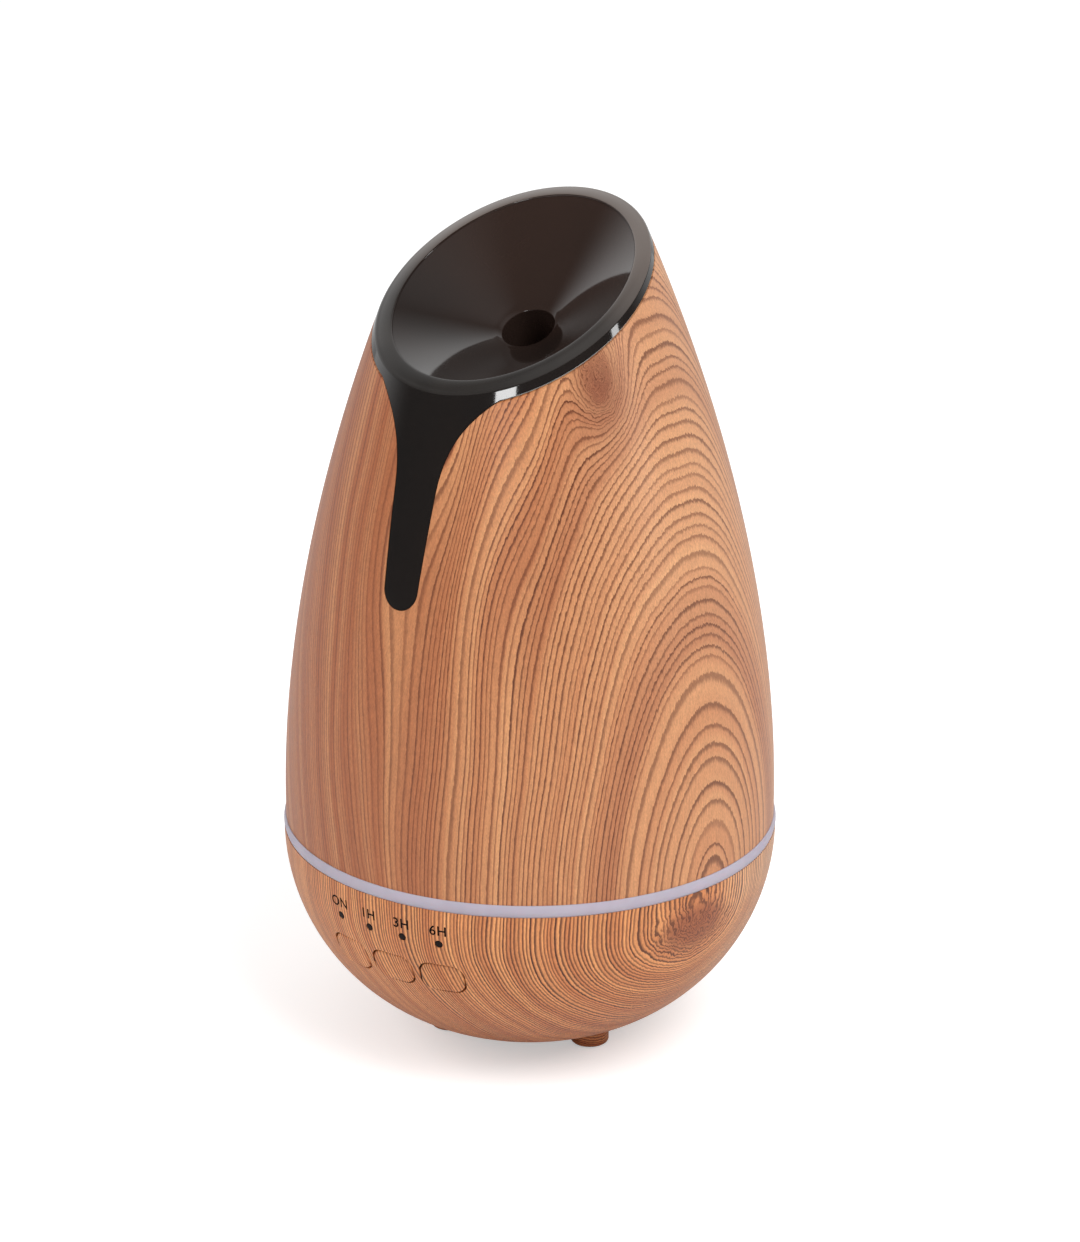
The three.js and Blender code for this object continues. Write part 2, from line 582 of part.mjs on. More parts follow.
/** The wood-print bowl with its pegs, bosses, posts and every opening in its wall. */
function baseBowl() {
  const outer = bowlSolid(0);
  const ledgeZ = RING_BOTTOM - LEDGE_DROP;
  const mouth = radiusAt(bowlCurve, RING_BOTTOM) - BOWL_WALL - 0.5;
  const hollow = union(
    bowlSolid(BOWL_WALL).intersect(cylinder(mouth - LEDGE_WIDTH, 0, RING_BOTTOM + 1, ROUND_MID)),
    cylinder(mouth, ledgeZ, RING_BOTTOM + 1, ROUND_MID),
  );
  const pegs = PEG_ANGLES.map((angle) => {
    const at = polar(PEG_CIRCLE, angle);
    return peg().translate([at.x, at.y, 0]);
  });
  const bosses = BOSS_ANGLES.map((angle) => {
    const at = polar(BOSS_CIRCLE, angle);
    return cylinder(BOSS_RADIUS, BOWL_FLOOR_Z, BOSS_JOINT_Z, ROUND_SMALL, at.x, at.y);
  });
  const posts = boardPosts.map((at) => cylinder(2.6, BOWL_FLOOR_Z, MAIN_BOARD_Z, ROUND_HOLE, at.x, at.y));
  const standoffs = fanHoles.map((at) => cylinder(2.6, BOWL_FLOOR_Z, FAN_Z, ROUND_HOLE, at.x, at.y));
  const boardFront = -KEY_BOARD_DEPTH + SEAT;
  const panelPosts = keyPosts.flatMap(([x, y]) => [
    onPanel(cylinder(2, boardFront, 0, ROUND_HOLE, x, y)),
    onPanel(cylinder(0.8, boardFront - BOARD_THICKNESS - 0.6, boardFront + 1, ROUND_HOLE, x, y)),
  ]);
  const inside = union(...bosses, ...posts, ...standoffs, ...panelPosts).intersect(bowlSolid(0.5));
  const body = union(cut(outer, hollow), inside, ...pegs.map((p) => cut(p, bowlSolid(BOWL_WALL))));

  const slots = Array.from({ length: SLOT_COUNT }, (_, i) =>
    box(SLOT_INNER, -SLOT_WIDTH / 2, 0, SLOT_OUTER - SLOT_INNER, SLOT_WIDTH, 2 * BOWL_FLOOR_Z)
      .rotate([0, 0, (360 * i) / SLOT_COUNT]),
  );
  const padPockets = PEG_ANGLES.map((angle) => {
    const at = polar(PEG_CIRCLE, angle);
    return cylinder(PAD_RADIUS + 0.15, -1, PAD_THICKNESS, ROUND_PEG, at.x, at.y);
  });
  const screwHoles = BOSS_ANGLES.flatMap((angle) => {
    const at = polar(BOSS_CIRCLE, angle);
    return [
      cylinder(CASE_SCREW.head + GAP, -1, SCREW_HEAD_Z, ROUND_SMALL, at.x, at.y),
      cylinder(CASE_SCREW.shank + GAP, SCREW_HEAD_Z - 1, BOSS_JOINT_Z + 1, ROUND_HOLE, at.x, at.y),
    ];
  });
  const boardPilot = BOARD_SCREW.shank + PILOT_CLEARANCE;
  const boardHoles = boardPosts.map((at) =>
    cylinder(boardPilot, MAIN_BOARD_Z - 6, MAIN_BOARD_Z + 1, ROUND_HOLE, at.x, at.y));
  const fanPilot = FAN_SCREW.shank + PILOT_CLEARANCE;
  const fanScrewHoles = [fanHoles[0], fanHoles[2]].map((at) =>
    cylinder(fanPilot, fanTop - FAN_SCREW.length - 0.4, FAN_Z + 1, ROUND_HOLE, at.x, at.y));
  const buttonHoles = [0, 1, 2].map((i) => onButton(i, slab(buttonShape(BUTTON_GAP), -9, 6, 2)));
  const lensHoles = [0, 1, 2, 3].map((i) =>
    onPanel(cylinder(LENS_RADIUS + 0.1, -9, 6, ROUND_SMALL, lensX(i), lensRow)));
  const jackHole = solid(new THREE.CylinderGeometry(JACK_NOSE + 0.8, JACK_NOSE + 0.8, 20, ROUND_SMALL)
    .translate(0, jackFront + 9, jackCentreZ));
  return cut(body, ...slots, ...padPockets, ...screwHoles, ...boardHoles, ...fanScrewHoles,
    ...buttonHoles, ...lensHoles, jackHole);
}

/** The frosted band, with a face that swells a little. */
function lightRing() {
  const inner = COLLAR_RADIUS + GAP;
  const swell = 0.35;
  return revolve([
    [inner, RING_BOTTOM],
    [RING_RADIUS - swell, RING_BOTTOM],
    [RING_RADIUS, RING_MIDDLE_Z],
    [RING_RADIUS - swell, RING_TOP],
    [inner, RING_TOP],
  ]);
}

// ---- water tank -----------------------------------------------------------------------------

const tankFloorAt = (radius) =>
  SUMP_Z + ((radius - SUMP_RADIUS) * (BASIN_FLOOR_Z - SUMP_Z)) / (BASIN_FLOOR_RADIUS - SUMP_RADIUS);
const flangeRadius = radiusAt(bowlCurve, RING_BOTTOM) - BOWL_WALL - 0.7;
const clampScrews = [90, 270].map((angle) => polar(CLAMP_SCREW_CIRCLE, angle));
const lightPosts = [40, 150, 210, 320].map((angle) =>
  polar((LIGHT_BOARD_INNER + LIGHT_BOARD_OUTER) / 2, angle));
const lightBoardTop = RING_BOTTOM - FLANGE_THICKNESS - LED_HEIGHT;

/** The translucent basin with its flange, collar, air duct, key rib and the bosses under its floor. */
function waterTank() {
  const flangeZ = RING_BOTTOM - FLANGE_THICKNESS;
  const hole = DISC_RADIUS - DISC_OPEN;
  const basin = revolve([
    [hole, SUMP_Z],
    [SUMP_RADIUS, SUMP_Z],
    [BASIN_FLOOR_RADIUS - 2, tankFloorAt(BASIN_FLOOR_RADIUS - 2)],
    [BASIN_FLOOR_RADIUS + 1.2, BASIN_FLOOR_Z + 2],
    [BASIN_MOUTH_RADIUS, RING_BOTTOM],
    [COLLAR_RADIUS - COLLAR_WALL, RING_BOTTOM],
    [COLLAR_RADIUS - COLLAR_WALL, COLLAR_TOP],
    [COLLAR_RADIUS - 0.4, COLLAR_TOP],
    [COLLAR_RADIUS, RING_BOTTOM],
    [flangeRadius, RING_BOTTOM],
    [flangeRadius, flangeZ],
    [BASIN_MOUTH_RADIUS + TANK_WALL - 0.8, flangeZ],
    [BASIN_FLOOR_RADIUS + 1.2 + TANK_WALL, BASIN_FLOOR_Z + 1],
    [BASIN_FLOOR_RADIUS - 1, tankFloorAt(BASIN_FLOOR_RADIUS - 1) - TANK_WALL],
    [SUMP_RADIUS, SUMP_Z - TANK_WALL],
    [hole, SUMP_Z - TANK_WALL],
  ], ROUND_MID);
  const seatBottom = SUMP_Z - TANK_WALL - SEAL_SEAT_DEPTH;
  const seat = SEAL_RADIUS + SEAL_CLEARANCE;
  const sealWall = tube(SEAL_RADIUS + SEAL_SEAT_WALL, seat, seatBottom, SUMP_Z - 1, 20);
  const under = union(sealWall,
    ...BOSS_ANGLES.map((angle) => {
      const at = polar(BOSS_CIRCLE, angle);
      return cylinder(BOSS_RADIUS - 0.5, BOSS_JOINT_Z, tankFloorAt(BOSS_CIRCLE) - 0.8, ROUND_SMALL, at.x, at.y);
    }),
    ...clampScrews.map((at) => cylinder(2.4, seatBottom, SUMP_Z - 0.5, ROUND_SMALL, at.x, at.y)),
    ...lightPosts.flatMap((at) => [
      cylinder(1.5, lightBoardTop, flangeZ + 0.5, ROUND_HOLE, at.x, at.y),
      cylinder(LIGHT_PEG, lightBoardTop - BOARD_THICKNESS - 0.6, lightBoardTop + 0.5, ROUND_HOLE, at.x, at.y),
    ]));
  const duct = cylinder(DUCT_RADIUS, tankFloorAt(DUCT_OFFSET - DUCT_RADIUS) - 3, DUCT_TOP, 20, DUCT_OFFSET, 0);
  const key = box(-KEY_WIDTH / 2, COLLAR_RADIUS - 1, RING_TOP + 0.6, KEY_WIDTH, 1.9, COLLAR_TOP - RING_TOP - 2);
  const pilots = BOSS_ANGLES.map((angle) => {
    const at = polar(BOSS_CIRCLE, angle);
    const pilot = CASE_SCREW.shank + PILOT_CLEARANCE;
    const end = SCREW_HEAD_Z + CASE_SCREW.length + 0.5;
    return cylinder(pilot, BOSS_JOINT_Z - 1, end, ROUND_HOLE, at.x, at.y);
  });
  const clampPilot = CLAMP_SCREW.shank + PILOT_CLEARANCE;
  const clampPilots = clampScrews.map((at) =>
    cylinder(clampPilot, SUMP_Z - 9, SUMP_Z - 2.5, ROUND_HOLE, at.x, at.y));
  const bore = cylinder(DUCT_RADIUS - DUCT_WALL, 0, DUCT_TOP + 1, 20, DUCT_OFFSET, 0);
  const ringPassage = tube(2 * RING_RADIUS, COLLAR_RADIUS, RING_BOTTOM, RING_TOP, ROUND_MID);
  return cut(union(basin, under, duct, cut(key, ringPassage)), bore, ...pilots, ...clampPilots);
}

/** The silicone ring between the bowl's step and the tank's flange. */
function tankGasket() {
  const ledgeZ = RING_BOTTOM - LEDGE_DROP;
  return tube(flangeRadius, flangeRadius - LEDGE_WIDTH + 0.3, ledgeZ, ledgeZ + TANK_GASKET, ROUND_MID);
}

/** The splash hood pushed over the air duct, open towards the middle of the tank. */
function ductHood() {
  const inner = DUCT_RADIUS + HOOD_CLEARANCE;
  const outer = inner + HOOD_WALL;
  const top = DUCT_TOP + HOOD_HEIGHT;
  const foot = DUCT_TOP - HOOD_GRIP;
  const step = DUCT_RADIUS - 0.8;
  const cap = revolve([
    [0, top],
    [outer - 3, top],
    [outer - 0.8, top - 1],
    [outer, top - 3],
    [outer, foot],
    [inner, foot],
    [inner, DUCT_TOP + SEAT],
    [step, DUCT_TOP + SEAT],
    [step, top - 3],
    [0, top - HOOD_WALL - 0.2],
  ], 20);
  const window = box(
    -outer - 1, -HOOD_WINDOW_WIDTH / 2, DUCT_TOP + HOOD_WALL,
    outer + 1, HOOD_WINDOW_WIDTH, HOOD_WINDOW_HEIGHT,
  );
  return cut(cap, window).translate([DUCT_OFFSET, 0, 0]);
}

// ---- transducer -------------------------------------------------------------------------------

const sealTop = SUMP_Z - TANK_WALL;
const sealBottom = sealTop - SEAL_HEIGHT;
const discZ = sealBottom + SEAL_HEIGHT / 2 - DISC_THICKNESS / 2;

function transducerDisc() {
  return cylinder(DISC_RADIUS, discZ, discZ + DISC_THICKNESS, 20);
}

/** A soft ring with a groove that grips the disc's edge. */
function transducerSeal() {
  const lip = DISC_RADIUS - DISC_OPEN;
  const grip = DISC_RADIUS + 0.1;
  return revolve([
    [lip, sealBottom],
    [SEAL_RADIUS, sealBottom],
    [SEAL_RADIUS, sealTop],
    [lip, sealTop],
    [lip, discZ + DISC_THICKNESS + 0.1],
    [grip, discZ + DISC_THICKNESS + 0.1],
    [grip, discZ - 0.1],
    [lip, discZ - 0.1],
  ], 20);
}

/** The plate that holds the seal up in its seat. */
function transducerClamp() {
  const plate = new THREE.Shape();
  plate.absarc(0, 0, SEAL_RADIUS + SEAL_SEAT_WALL, 0, 2 * Math.PI, false);
  const window = new THREE.Path();
  window.absarc(0, 0, DISC_RADIUS - DISC_OPEN - 1, 0, 2 * Math.PI, true);
  plate.holes.push(window);
  const top = sealBottom;
  const ears = clampScrews.flatMap((at) => [
    cylinder(CLAMP_EAR, top - CLAMP_THICKNESS, top, ROUND_HOLE, at.x, at.y),
    box(at.x > 0 ? SEAL_RADIUS : at.x, -CLAMP_EAR, top - CLAMP_THICKNESS,
      CLAMP_SCREW_CIRCLE - SEAL_RADIUS, 2 * CLAMP_EAR, CLAMP_THICKNESS),
  ]);
  const through = CLAMP_SCREW.shank + SHANK_CLEARANCE;
  const holes = clampScrews.map((at) =>
    cylinder(through, top - 2 * CLAMP_THICKNESS, top + 1, ROUND_HOLE, at.x, at.y));
  return cut(union(slab(plate, top - CLAMP_THICKNESS, top, 10), ...ears), ...holes);
}

/** A pan-head screw with its head below z = 0, slotted, and its shank above. */
function screw({ head, thick, shank, length }) {
  const body = revolve([
    [0, -thick],
    [0.6 * head, -thick],
    [head, -0.45 * thick],
    [head, 0],
    [shank, 0],
    [shank, length - shank],
    [0, length],
  ], ROUND_HOLE);
  const wide = 3 * head;
  const thin = 0.24 * head;
  return cut(body, box(-wide / 2, -thin / 2, -1.5 * thick, wide, thin, thick));
}
const downward = (body) => body.rotate([180, 0, 0]);

// ---- fan ----------------------------------------------------------------------------------------

const bearingTop = FAN_Z + FAN_HEIGHT - 3;

/** The square frame with its struts, motor plate and bearing tube. */
function fanFrame() {
  const outline = roundedRectangle(FAN_SIZE, FAN_SIZE, 3);
  const frame = cut(slab(outline, FAN_Z, fanTop, 3), cylinder(FAN_BORE, FAN_Z - 1, fanTop + 1, ROUND_MID));
  const plate = cylinder(FAN_HUB - 0.5, FAN_Z, FAN_Z + 1.4, 20);
  const struts = [0, 1, 2].map((i) =>
    box(FAN_HUB - 2, -0.9, FAN_Z, FAN_BORE - FAN_HUB + 3, 1.8, 1.4).rotate([0, 0, 120 * i + 15]));
  const bearing = cylinder(2.6, FAN_Z + 1, bearingTop, ROUND_SMALL);
  const bore = cylinder(SHAFT_RADIUS + BEARING_CLEARANCE, FAN_Z + 1, bearingTop + 1, ROUND_SMALL);
  const holes = [[1, 1], [-1, 1], [-1, -1], [1, -1]].map(([x, y]) =>
    cylinder(FAN_SCREW.shank + 0.6, FAN_Z - 1, fanTop + 1, ROUND_HOLE,
      (x * FAN_HOLE_PITCH) / 2, (y * FAN_HOLE_PITCH) / 2));
  return cut(union(frame, plate, ...struts, bearing), bore, ...holes)
    .rotate([0, 0, THREE.MathUtils.radToDeg(FAN_TURN)]);
}

/** The wound core round the bearing tube, with four poles. */
function fanStator() {
  const from = FAN_Z + 1.4;
  const ring = tube(4.6, 2.8, from, from + 4.6, ROUND_SMALL);
  const poles = [0, 1, 2, 3].flatMap((i) => [
    box(4, -1.6, from, 3.4, 3.2, 4.6).rotate([0, 0, 90 * i]),
    box(6.8, -3, from + 0.6, 1.1, 6, 3.4).rotate([0, 0, 90 * i]),
  ]);
  return union(ring, ...poles);
}

/** One twisted, cambered blade standing out along +X. */
function fanBlade(tip) {
  const stations = [
    [FAN_HUB - 0.6, 46, 7.4],
    [FAN_HUB + 2.4, 40, 8.6],
    [FAN_HUB + 5.4, 34, 9.8],
    [tip, 29, 10.6],
  ];
  const thickness = 0.5;
  return loft(stations.map(([radius, pitch, chord]) => {
    const a = radians(pitch);
    const section = [
      [-0.5, 0, -0.6], [0, 0.12, -1], [0.5, 0, -0.6],
      [0.5, 0, 0.6], [0, 0.12, 1], [-0.5, 0, 0.6],
    ];
    return section.map(([along, camber, side]) => {
      const s = along * chord;
      const h = camber * chord * 0.9 + (side * thickness) / 2;
      const across = s * Math.cos(a) - h * Math.sin(a);
      const up = s * Math.sin(a) + h * Math.cos(a);
      const turn = across / radius;
      return new THREE.Vector3(radius * Math.cos(turn), radius * Math.sin(turn), up);
    });
  }));
}

/** The hub cup with its blades. */
function fanImpeller() {
  const tip = FAN_BORE - BLADE_CLEARANCE;
  const from = FAN_Z + 2;
  const to = fanTop - 0.6;
  const cup = revolve([
    [SHAFT_RADIUS + 0.2, to - 1.4],
    [FAN_HUB - 1.2, to - 1.4],
    [FAN_HUB - 1.2, from],
    [FAN_HUB, from],
    [FAN_HUB, to - 0.8],
    [FAN_HUB - 0.8, to],
    [SHAFT_RADIUS + 0.2, to],
  ], 24);
  const blade = fanBlade(tip).translate([0, 0, (from + to) / 2 - 0.4]);
  const blades = Array.from({ length: BLADE_COUNT }, (_, i) => blade.rotate([0, 0, (360 * i) / BLADE_COUNT]));
  return union(cup, ...blades);
}

function fanShaft() {
  return cylinder(SHAFT_RADIUS, FAN_Z + 1.2, fanTop - 0.8);
}

// ---- boards ---------------------------------------------------------------------------------------

/** A flat sector of a ring between two angles from the front, going towards +X. */
function sector(inner, outer, from, to) {
  const angle = (degrees) => radians(degrees) - Math.PI / 2;
  const shape = new THREE.Shape();
  shape.absarc(0, 0, outer, angle(from), angle(to), false);
  shape.absarc(0, 0, inner, angle(to), angle(from), true);
  return shape;
}

function mainBoard() {
  const through = BOARD_SCREW.shank + SHANK_CLEARANCE;
  const holes = boardPosts.map((at) =>
    cylinder(through, MAIN_BOARD_Z - 1, mainBoardTop + 1, ROUND_HOLE, at.x, at.y));
  const shape = sector(mainBoardInner, mainBoardOuter, MAIN_BOARD_FROM, MAIN_BOARD_TO);
  return cut(slab(shape, MAIN_BOARD_Z, mainBoardTop, 10), ...holes);
}

/** A piece on the main board, made at the origin, set in from the board's inner edge and turned outwards. */
function onMainBoard(body, fromInner, degrees) {
  const at = polar(mainBoardInner + fromInner, degrees);
  return body.rotate([0, 0, degrees]).translate([at.x, at.y, mainBoardTop]);
}

/** The inlet: a block with a round nose and a blind bore round its centre pin. */
function dcJack() {
  const back = jackFront - JACK_LENGTH;
  const along = (radius, from, to, facets) =>
    solid(new THREE.CylinderGeometry(radius, radius, to - from, facets).translate(0, (from + to) / 2, jackCentreZ));
  const block = box(-JACK_WIDTH / 2, back, mainBoardTop, JACK_WIDTH, JACK_LENGTH, JACK_HEIGHT);
  const nose = along(JACK_NOSE, jackFront - 1, jackFront + 3, 20);
  const bore = along(JACK_BORE, jackFront - 9, jackFront + 4, ROUND_SMALL);
  const pin = along(0.95, jackFront - 9.5, jackFront + 1, ROUND_HOLE);
  return cut(union(block, nose), cut(bore, pin));
}

/** Fins on a foot, standing beside the transistor they cool. */
function heatSink() {
  const fins = [0, 1, 2, 3].map((i) => box(-6, -3.4 + 1.9 * i, 0, 12, 0.9, 8));
  return union(box(-6, -3.4, 0, 12, 6.6, 1.2), ...fins);
}

/** The transistor's moulded body with its three legs. */
function powerTransistor() {
  const legs = [-1.7, 0, 1.7].map((x) => box(x - 0.3, -0.3, 0, 0.6, 0.6, 2));
  return union(box(-3.3, -1.2, 1.6, 6.6, 2.4, 5.6), ...legs);
}

/** A choke: a drum core with its winding. */
function driveInductor() {
  return revolve([[0, 0], [4, 0], [4, 1.2], [3.4, 1.2], [3.4, 5.4], [4, 5.4], [4, 6.6], [0, 6.6]], 20);
}

function capacitor() {
  return revolve([[0, 0], [3.1, 0], [3.1, 0.8], [2.9, 1.1], [3.1, 1.4], [3.1, 7.6], [2.7, 8], [0, 8]], ROUND_SMALL);
}

function controlChip() {
  const legs = [-1, 1].flatMap((side) =>
    [-1.8, 0, 1.8].map((x) => box(x - 0.2, side > 0 ? 1.6 : -2.8, 0, 0.4, 1.2, 0.5)));
  return union(box(-2.6, -1.9, 0.2, 5.2, 3.8, 1.4), ...legs);
}

/** The open ring of lights under the tank's flange. */
function lightBoard() {
  const shape = sector(LIGHT_BOARD_INNER, LIGHT_BOARD_OUTER, LIGHT_BOARD_GAP, 360 - LIGHT_BOARD_GAP);
  const underside = lightBoardTop - BOARD_THICKNESS;
  const pegs = lightPosts.map((at) =>
    cylinder(LIGHT_PEG + 0.2, underside - 1, lightBoardTop + 1, ROUND_HOLE, at.x, at.y));
  return cut(slab(shape, underside, lightBoardTop, 24), ...pegs);
}

function moodLed(degrees) {
  const at = polar((LIGHT_BOARD_INNER + LIGHT_BOARD_OUTER) / 2, degrees);
  const body = union(box(-1.75, -1.4, 0, 3.5, 2.8, LED_HEIGHT - 0.4), cylinder(1.2, 0.5, LED_HEIGHT, ROUND_HOLE));
  return body.rotate([0, 0, degrees]).translate([at.x, at.y, lightBoardTop]);
}

/** The board behind the buttons, on the bowl's two pegs. */
function keyBoard() {
  const front = -KEY_BOARD_DEPTH;
  const half = keyPostX + KEY_BOARD_EDGE;
  const shoulder = lensX(3) + LENS_RADIUS + 0.6;
  const outline = new THREE.Shape();
  outline.moveTo(-half, -5.4);
  outline.lineTo(half, -5.4);
  outline.lineTo(half, 5);
  outline.lineTo(shoulder, lensRow + 1.8);
  outline.lineTo(-shoulder, lensRow + 1.8);
  outline.lineTo(-half, 5);
  const board = slab(outline, front - BOARD_THICKNESS, front);
  const holes = keyPosts.map(([x, y]) => cylinder(1, front - 4, front + 1, ROUND_HOLE, x, y));
  return onPanel(cut(board, ...holes));
}

const switchTop = -KEY_BOARD_DEPTH + SEAT + SWITCH_HEIGHT;
const plungerTop = switchTop + PLUNGER_HEIGHT;

/** A switch on the key board, where its button's axis comes down. */
function tactSwitch(index) {
  const half = SWITCH_SIZE / 2;
  const at = buttonAxisAt(index, switchTop);
  const body = box(-half, -half, -KEY_BOARD_DEPTH + SEAT, SWITCH_SIZE, SWITCH_SIZE, SWITCH_HEIGHT);
  const well = cylinder(PLUNGER_RADIUS + 0.3, switchTop - 0.9 - BUTTON_TRAVEL, switchTop + 1, ROUND_SMALL);
  return onPanel(cut(body, well).translate([at.x, at.y, 0]));
}

function plunger(index) {
  const at = buttonAxisAt(index, switchTop);
  return onPanel(cylinder(PLUNGER_RADIUS, switchTop - 0.7, plungerTop, ROUND_SMALL, at.x, at.y));
}

/** A cap that follows the bowl, with a lip behind the wall and a stem that ends on the switch. */
function button(index) {
  const cap = onButton(index, slab(buttonShape(), -12, 6, 3))
    .intersect(cut(bowlSolid(-BUTTON_PROUD), bowlSolid(BOWL_WALL + 1.3)));
  const lip = onButton(index, slab(buttonShape(BUTTON_LIP), -12, 6, 2))
    .intersect(cut(bowlSolid(BOWL_WALL + 0.4), bowlSolid(BOWL_WALL + 1.3)));
  const frame = new THREE.Vector3().setFromMatrixPosition(buttonFrame(index));
  const end = buttonAxisAt(index, plungerTop).applyMatrix4(panel).distanceTo(frame);
  const clear = SEAT + STEM_RADIUS * Math.sin(radians(BUTTON_ANGLE * Math.abs(index - 1)));
  const stem = onButton(index, cylinder(STEM_RADIUS, clear - end, 0, ROUND_HOLE))
    .intersect(bowlSolid(BOWL_WALL));
  return union(cap, lip, stem);
}

/** A light pipe from an indicator light out through the wall. */
function indicatorLens(index) {
  const from = -KEY_BOARD_DEPTH + 1 + SEAT;
  const pipe = onPanel(cylinder(LENS_RADIUS, from, 6, ROUND_SMALL, lensX(index), lensRow))
    .intersect(bowlSolid(0.12));
  const collar = onPanel(cylinder(LENS_RADIUS + 0.5, from, from + 1, ROUND_HOLE, lensX(index), lensRow));
  return union(pipe, collar);
}

function indicatorLed(index) {
  const from = -KEY_BOARD_DEPTH + SEAT;
  return onPanel(box(lensX(index) - 1, lensRow - 0.6, from, 2, 1.2, 0.9));
}

// ---- feet -----------------------------------------------------------------------------------------

function footPad(degrees) {
  const at = polar(PEG_CIRCLE, degrees);
  return revolve([
    [0, 0],
    [PAD_RADIUS - 0.3, 0],
    [PAD_RADIUS, 0.3],
    [PAD_RADIUS, PAD_THICKNESS],
    [0, PAD_THICKNESS],
  ], ROUND_PEG).translate([at.x, at.y, 0]);
}

// ---- assembly ---------------------------------------------------------------------------------------

const humidifier = new THREE.Group();

const cover = new THREE.Group();
cover.add(
  mesh("cover_shell", coverShell(), WOOD_PRINT),
  mesh("mist_funnel", mistFunnel(), SMOKED),
  mesh("funnel_gasket", funnelGasket(), SILICONE),
);

const housing = new THREE.Group();
housing.add(
  mesh("base_bowl", baseBowl(), WOOD_PRINT),
  mesh("light_ring", lightRing(), FROSTED),
  mesh("water_tank", waterTank(), TANK_WHITE),
  mesh("tank_gasket", tankGasket(), SILICONE),
  mesh("air_duct_hood", ductHood(), TANK_WHITE),
);
PEG_ANGLES.forEach((angle, i) => housing.add(mesh(`foot_pad_${i + 1}`, footPad(angle), RUBBER)));
BOSS_ANGLES.forEach((angle, i) => {
  const at = polar(BOSS_CIRCLE, angle, SCREW_HEAD_Z);
  housing.add(mesh(`case_screw_${i + 1}`, screw(CASE_SCREW).translate(at.toArray()), STEEL));
});

const transducer = new THREE.Group();
transducer.add(
  mesh("transducer_disc", transducerDisc(), CERAMIC),
  mesh("transducer_seal", transducerSeal(), SILICONE),
  mesh("transducer_clamp", transducerClamp(), ALUMINIUM),
);
clampScrews.forEach((at, i) => {
  const place = [at.x, at.y, sealBottom - CLAMP_THICKNESS];
  transducer.add(mesh(`clamp_screw_${i + 1}`, screw(CLAMP_SCREW).translate(place), STEEL));
});

const fan = new THREE.Group();
fan.add(
  mesh("fan_frame", fanFrame(), BLACK_PLASTIC),
  mesh("fan_stator", fanStator(), COPPER),
  mesh("fan_impeller", fanImpeller(), BLACK_PLASTIC),
  mesh("fan_shaft", fanShaft(), STEEL),
);
[fanHoles[0], fanHoles[2]].forEach((at, i) => {
  const body = downward(screw(FAN_SCREW)).translate([at.x, at.y, fanTop]);
  fan.add(mesh(`fan_screw_${i + 1}`, body, STEEL));
});

const electronics = new THREE.Group();
electronics.add(
  mesh("main_board", mainBoard(), BOARD_GREEN),
  mesh("dc_jack", dcJack(), BLACK_PLASTIC),
  mesh("heat_sink", onMainBoard(heatSink(), 10, 216), ALUMINIUM),
  mesh("power_transistor", onMainBoard(powerTransistor(), 4.4, 216), BLACK_PLASTIC),
  mesh("drive_inductor", onMainBoard(driveInductor(), 4.6, 166), COPPER),
  mesh("smoothing_capacitor", onMainBoard(capacitor(), 7.5, 151), ALUMINIUM),
  mesh("control_chip", onMainBoard(controlChip(), 5, 196), BLACK_PLASTIC),
  mesh("light_board", lightBoard(), BOARD_GREEN),
);
LIGHT_ANGLES.forEach((angle, i) => electronics.add(mesh(`mood_led_${i + 1}`, moodLed(angle), LED_WHITE)));
boardPosts.forEach((at, i) => {
  const body = downward(screw(BOARD_SCREW)).translate([at.x, at.y, mainBoardTop]);
  electronics.add(mesh(`board_screw_${i + 1}`, body, STEEL));
});

const keys = new THREE.Group();
keys.add(mesh("key_board", keyBoard(), BOARD_GREEN));
["left", "middle", "right"].forEach((side, i) => {
  keys.add(
    mesh(`${side}_button`, button(i), WOOD_PRINT),
    mesh(`${side}_switch`, tactSwitch(i), BLACK_PLASTIC),
    mesh(`${side}_switch_plunger`, plunger(i), BLACK_PLASTIC),
  );
});
["on", "1h", "3h", "6h"].forEach((time, i) => {
  keys.add(
    mesh(`lens_${time}`, indicatorLens(i), SMOKED),
    mesh(`indicator_led_${time}`, indicatorLed(i), LED_WHITE),
  );
});

humidifier.add(cover, housing, transducer, fan, electronics, keys);

export default humidifier;
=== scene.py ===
"""Dresses an ultrasonic cool mist humidifier: an egg in printed wood with a smoked funnel, a
frosted light ring and three push buttons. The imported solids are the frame, and the smooth
shells, the buttons, the lettering and every finish are made here, in millimetres."""

import json
import logging
import math
from collections.abc import Callable, Iterable, Sequence
from dataclasses import dataclass, field
from enum import Enum
from functools import cached_property
from typing import ClassVar

import bpy
import numpy as np
from mathutils import Matrix, Vector


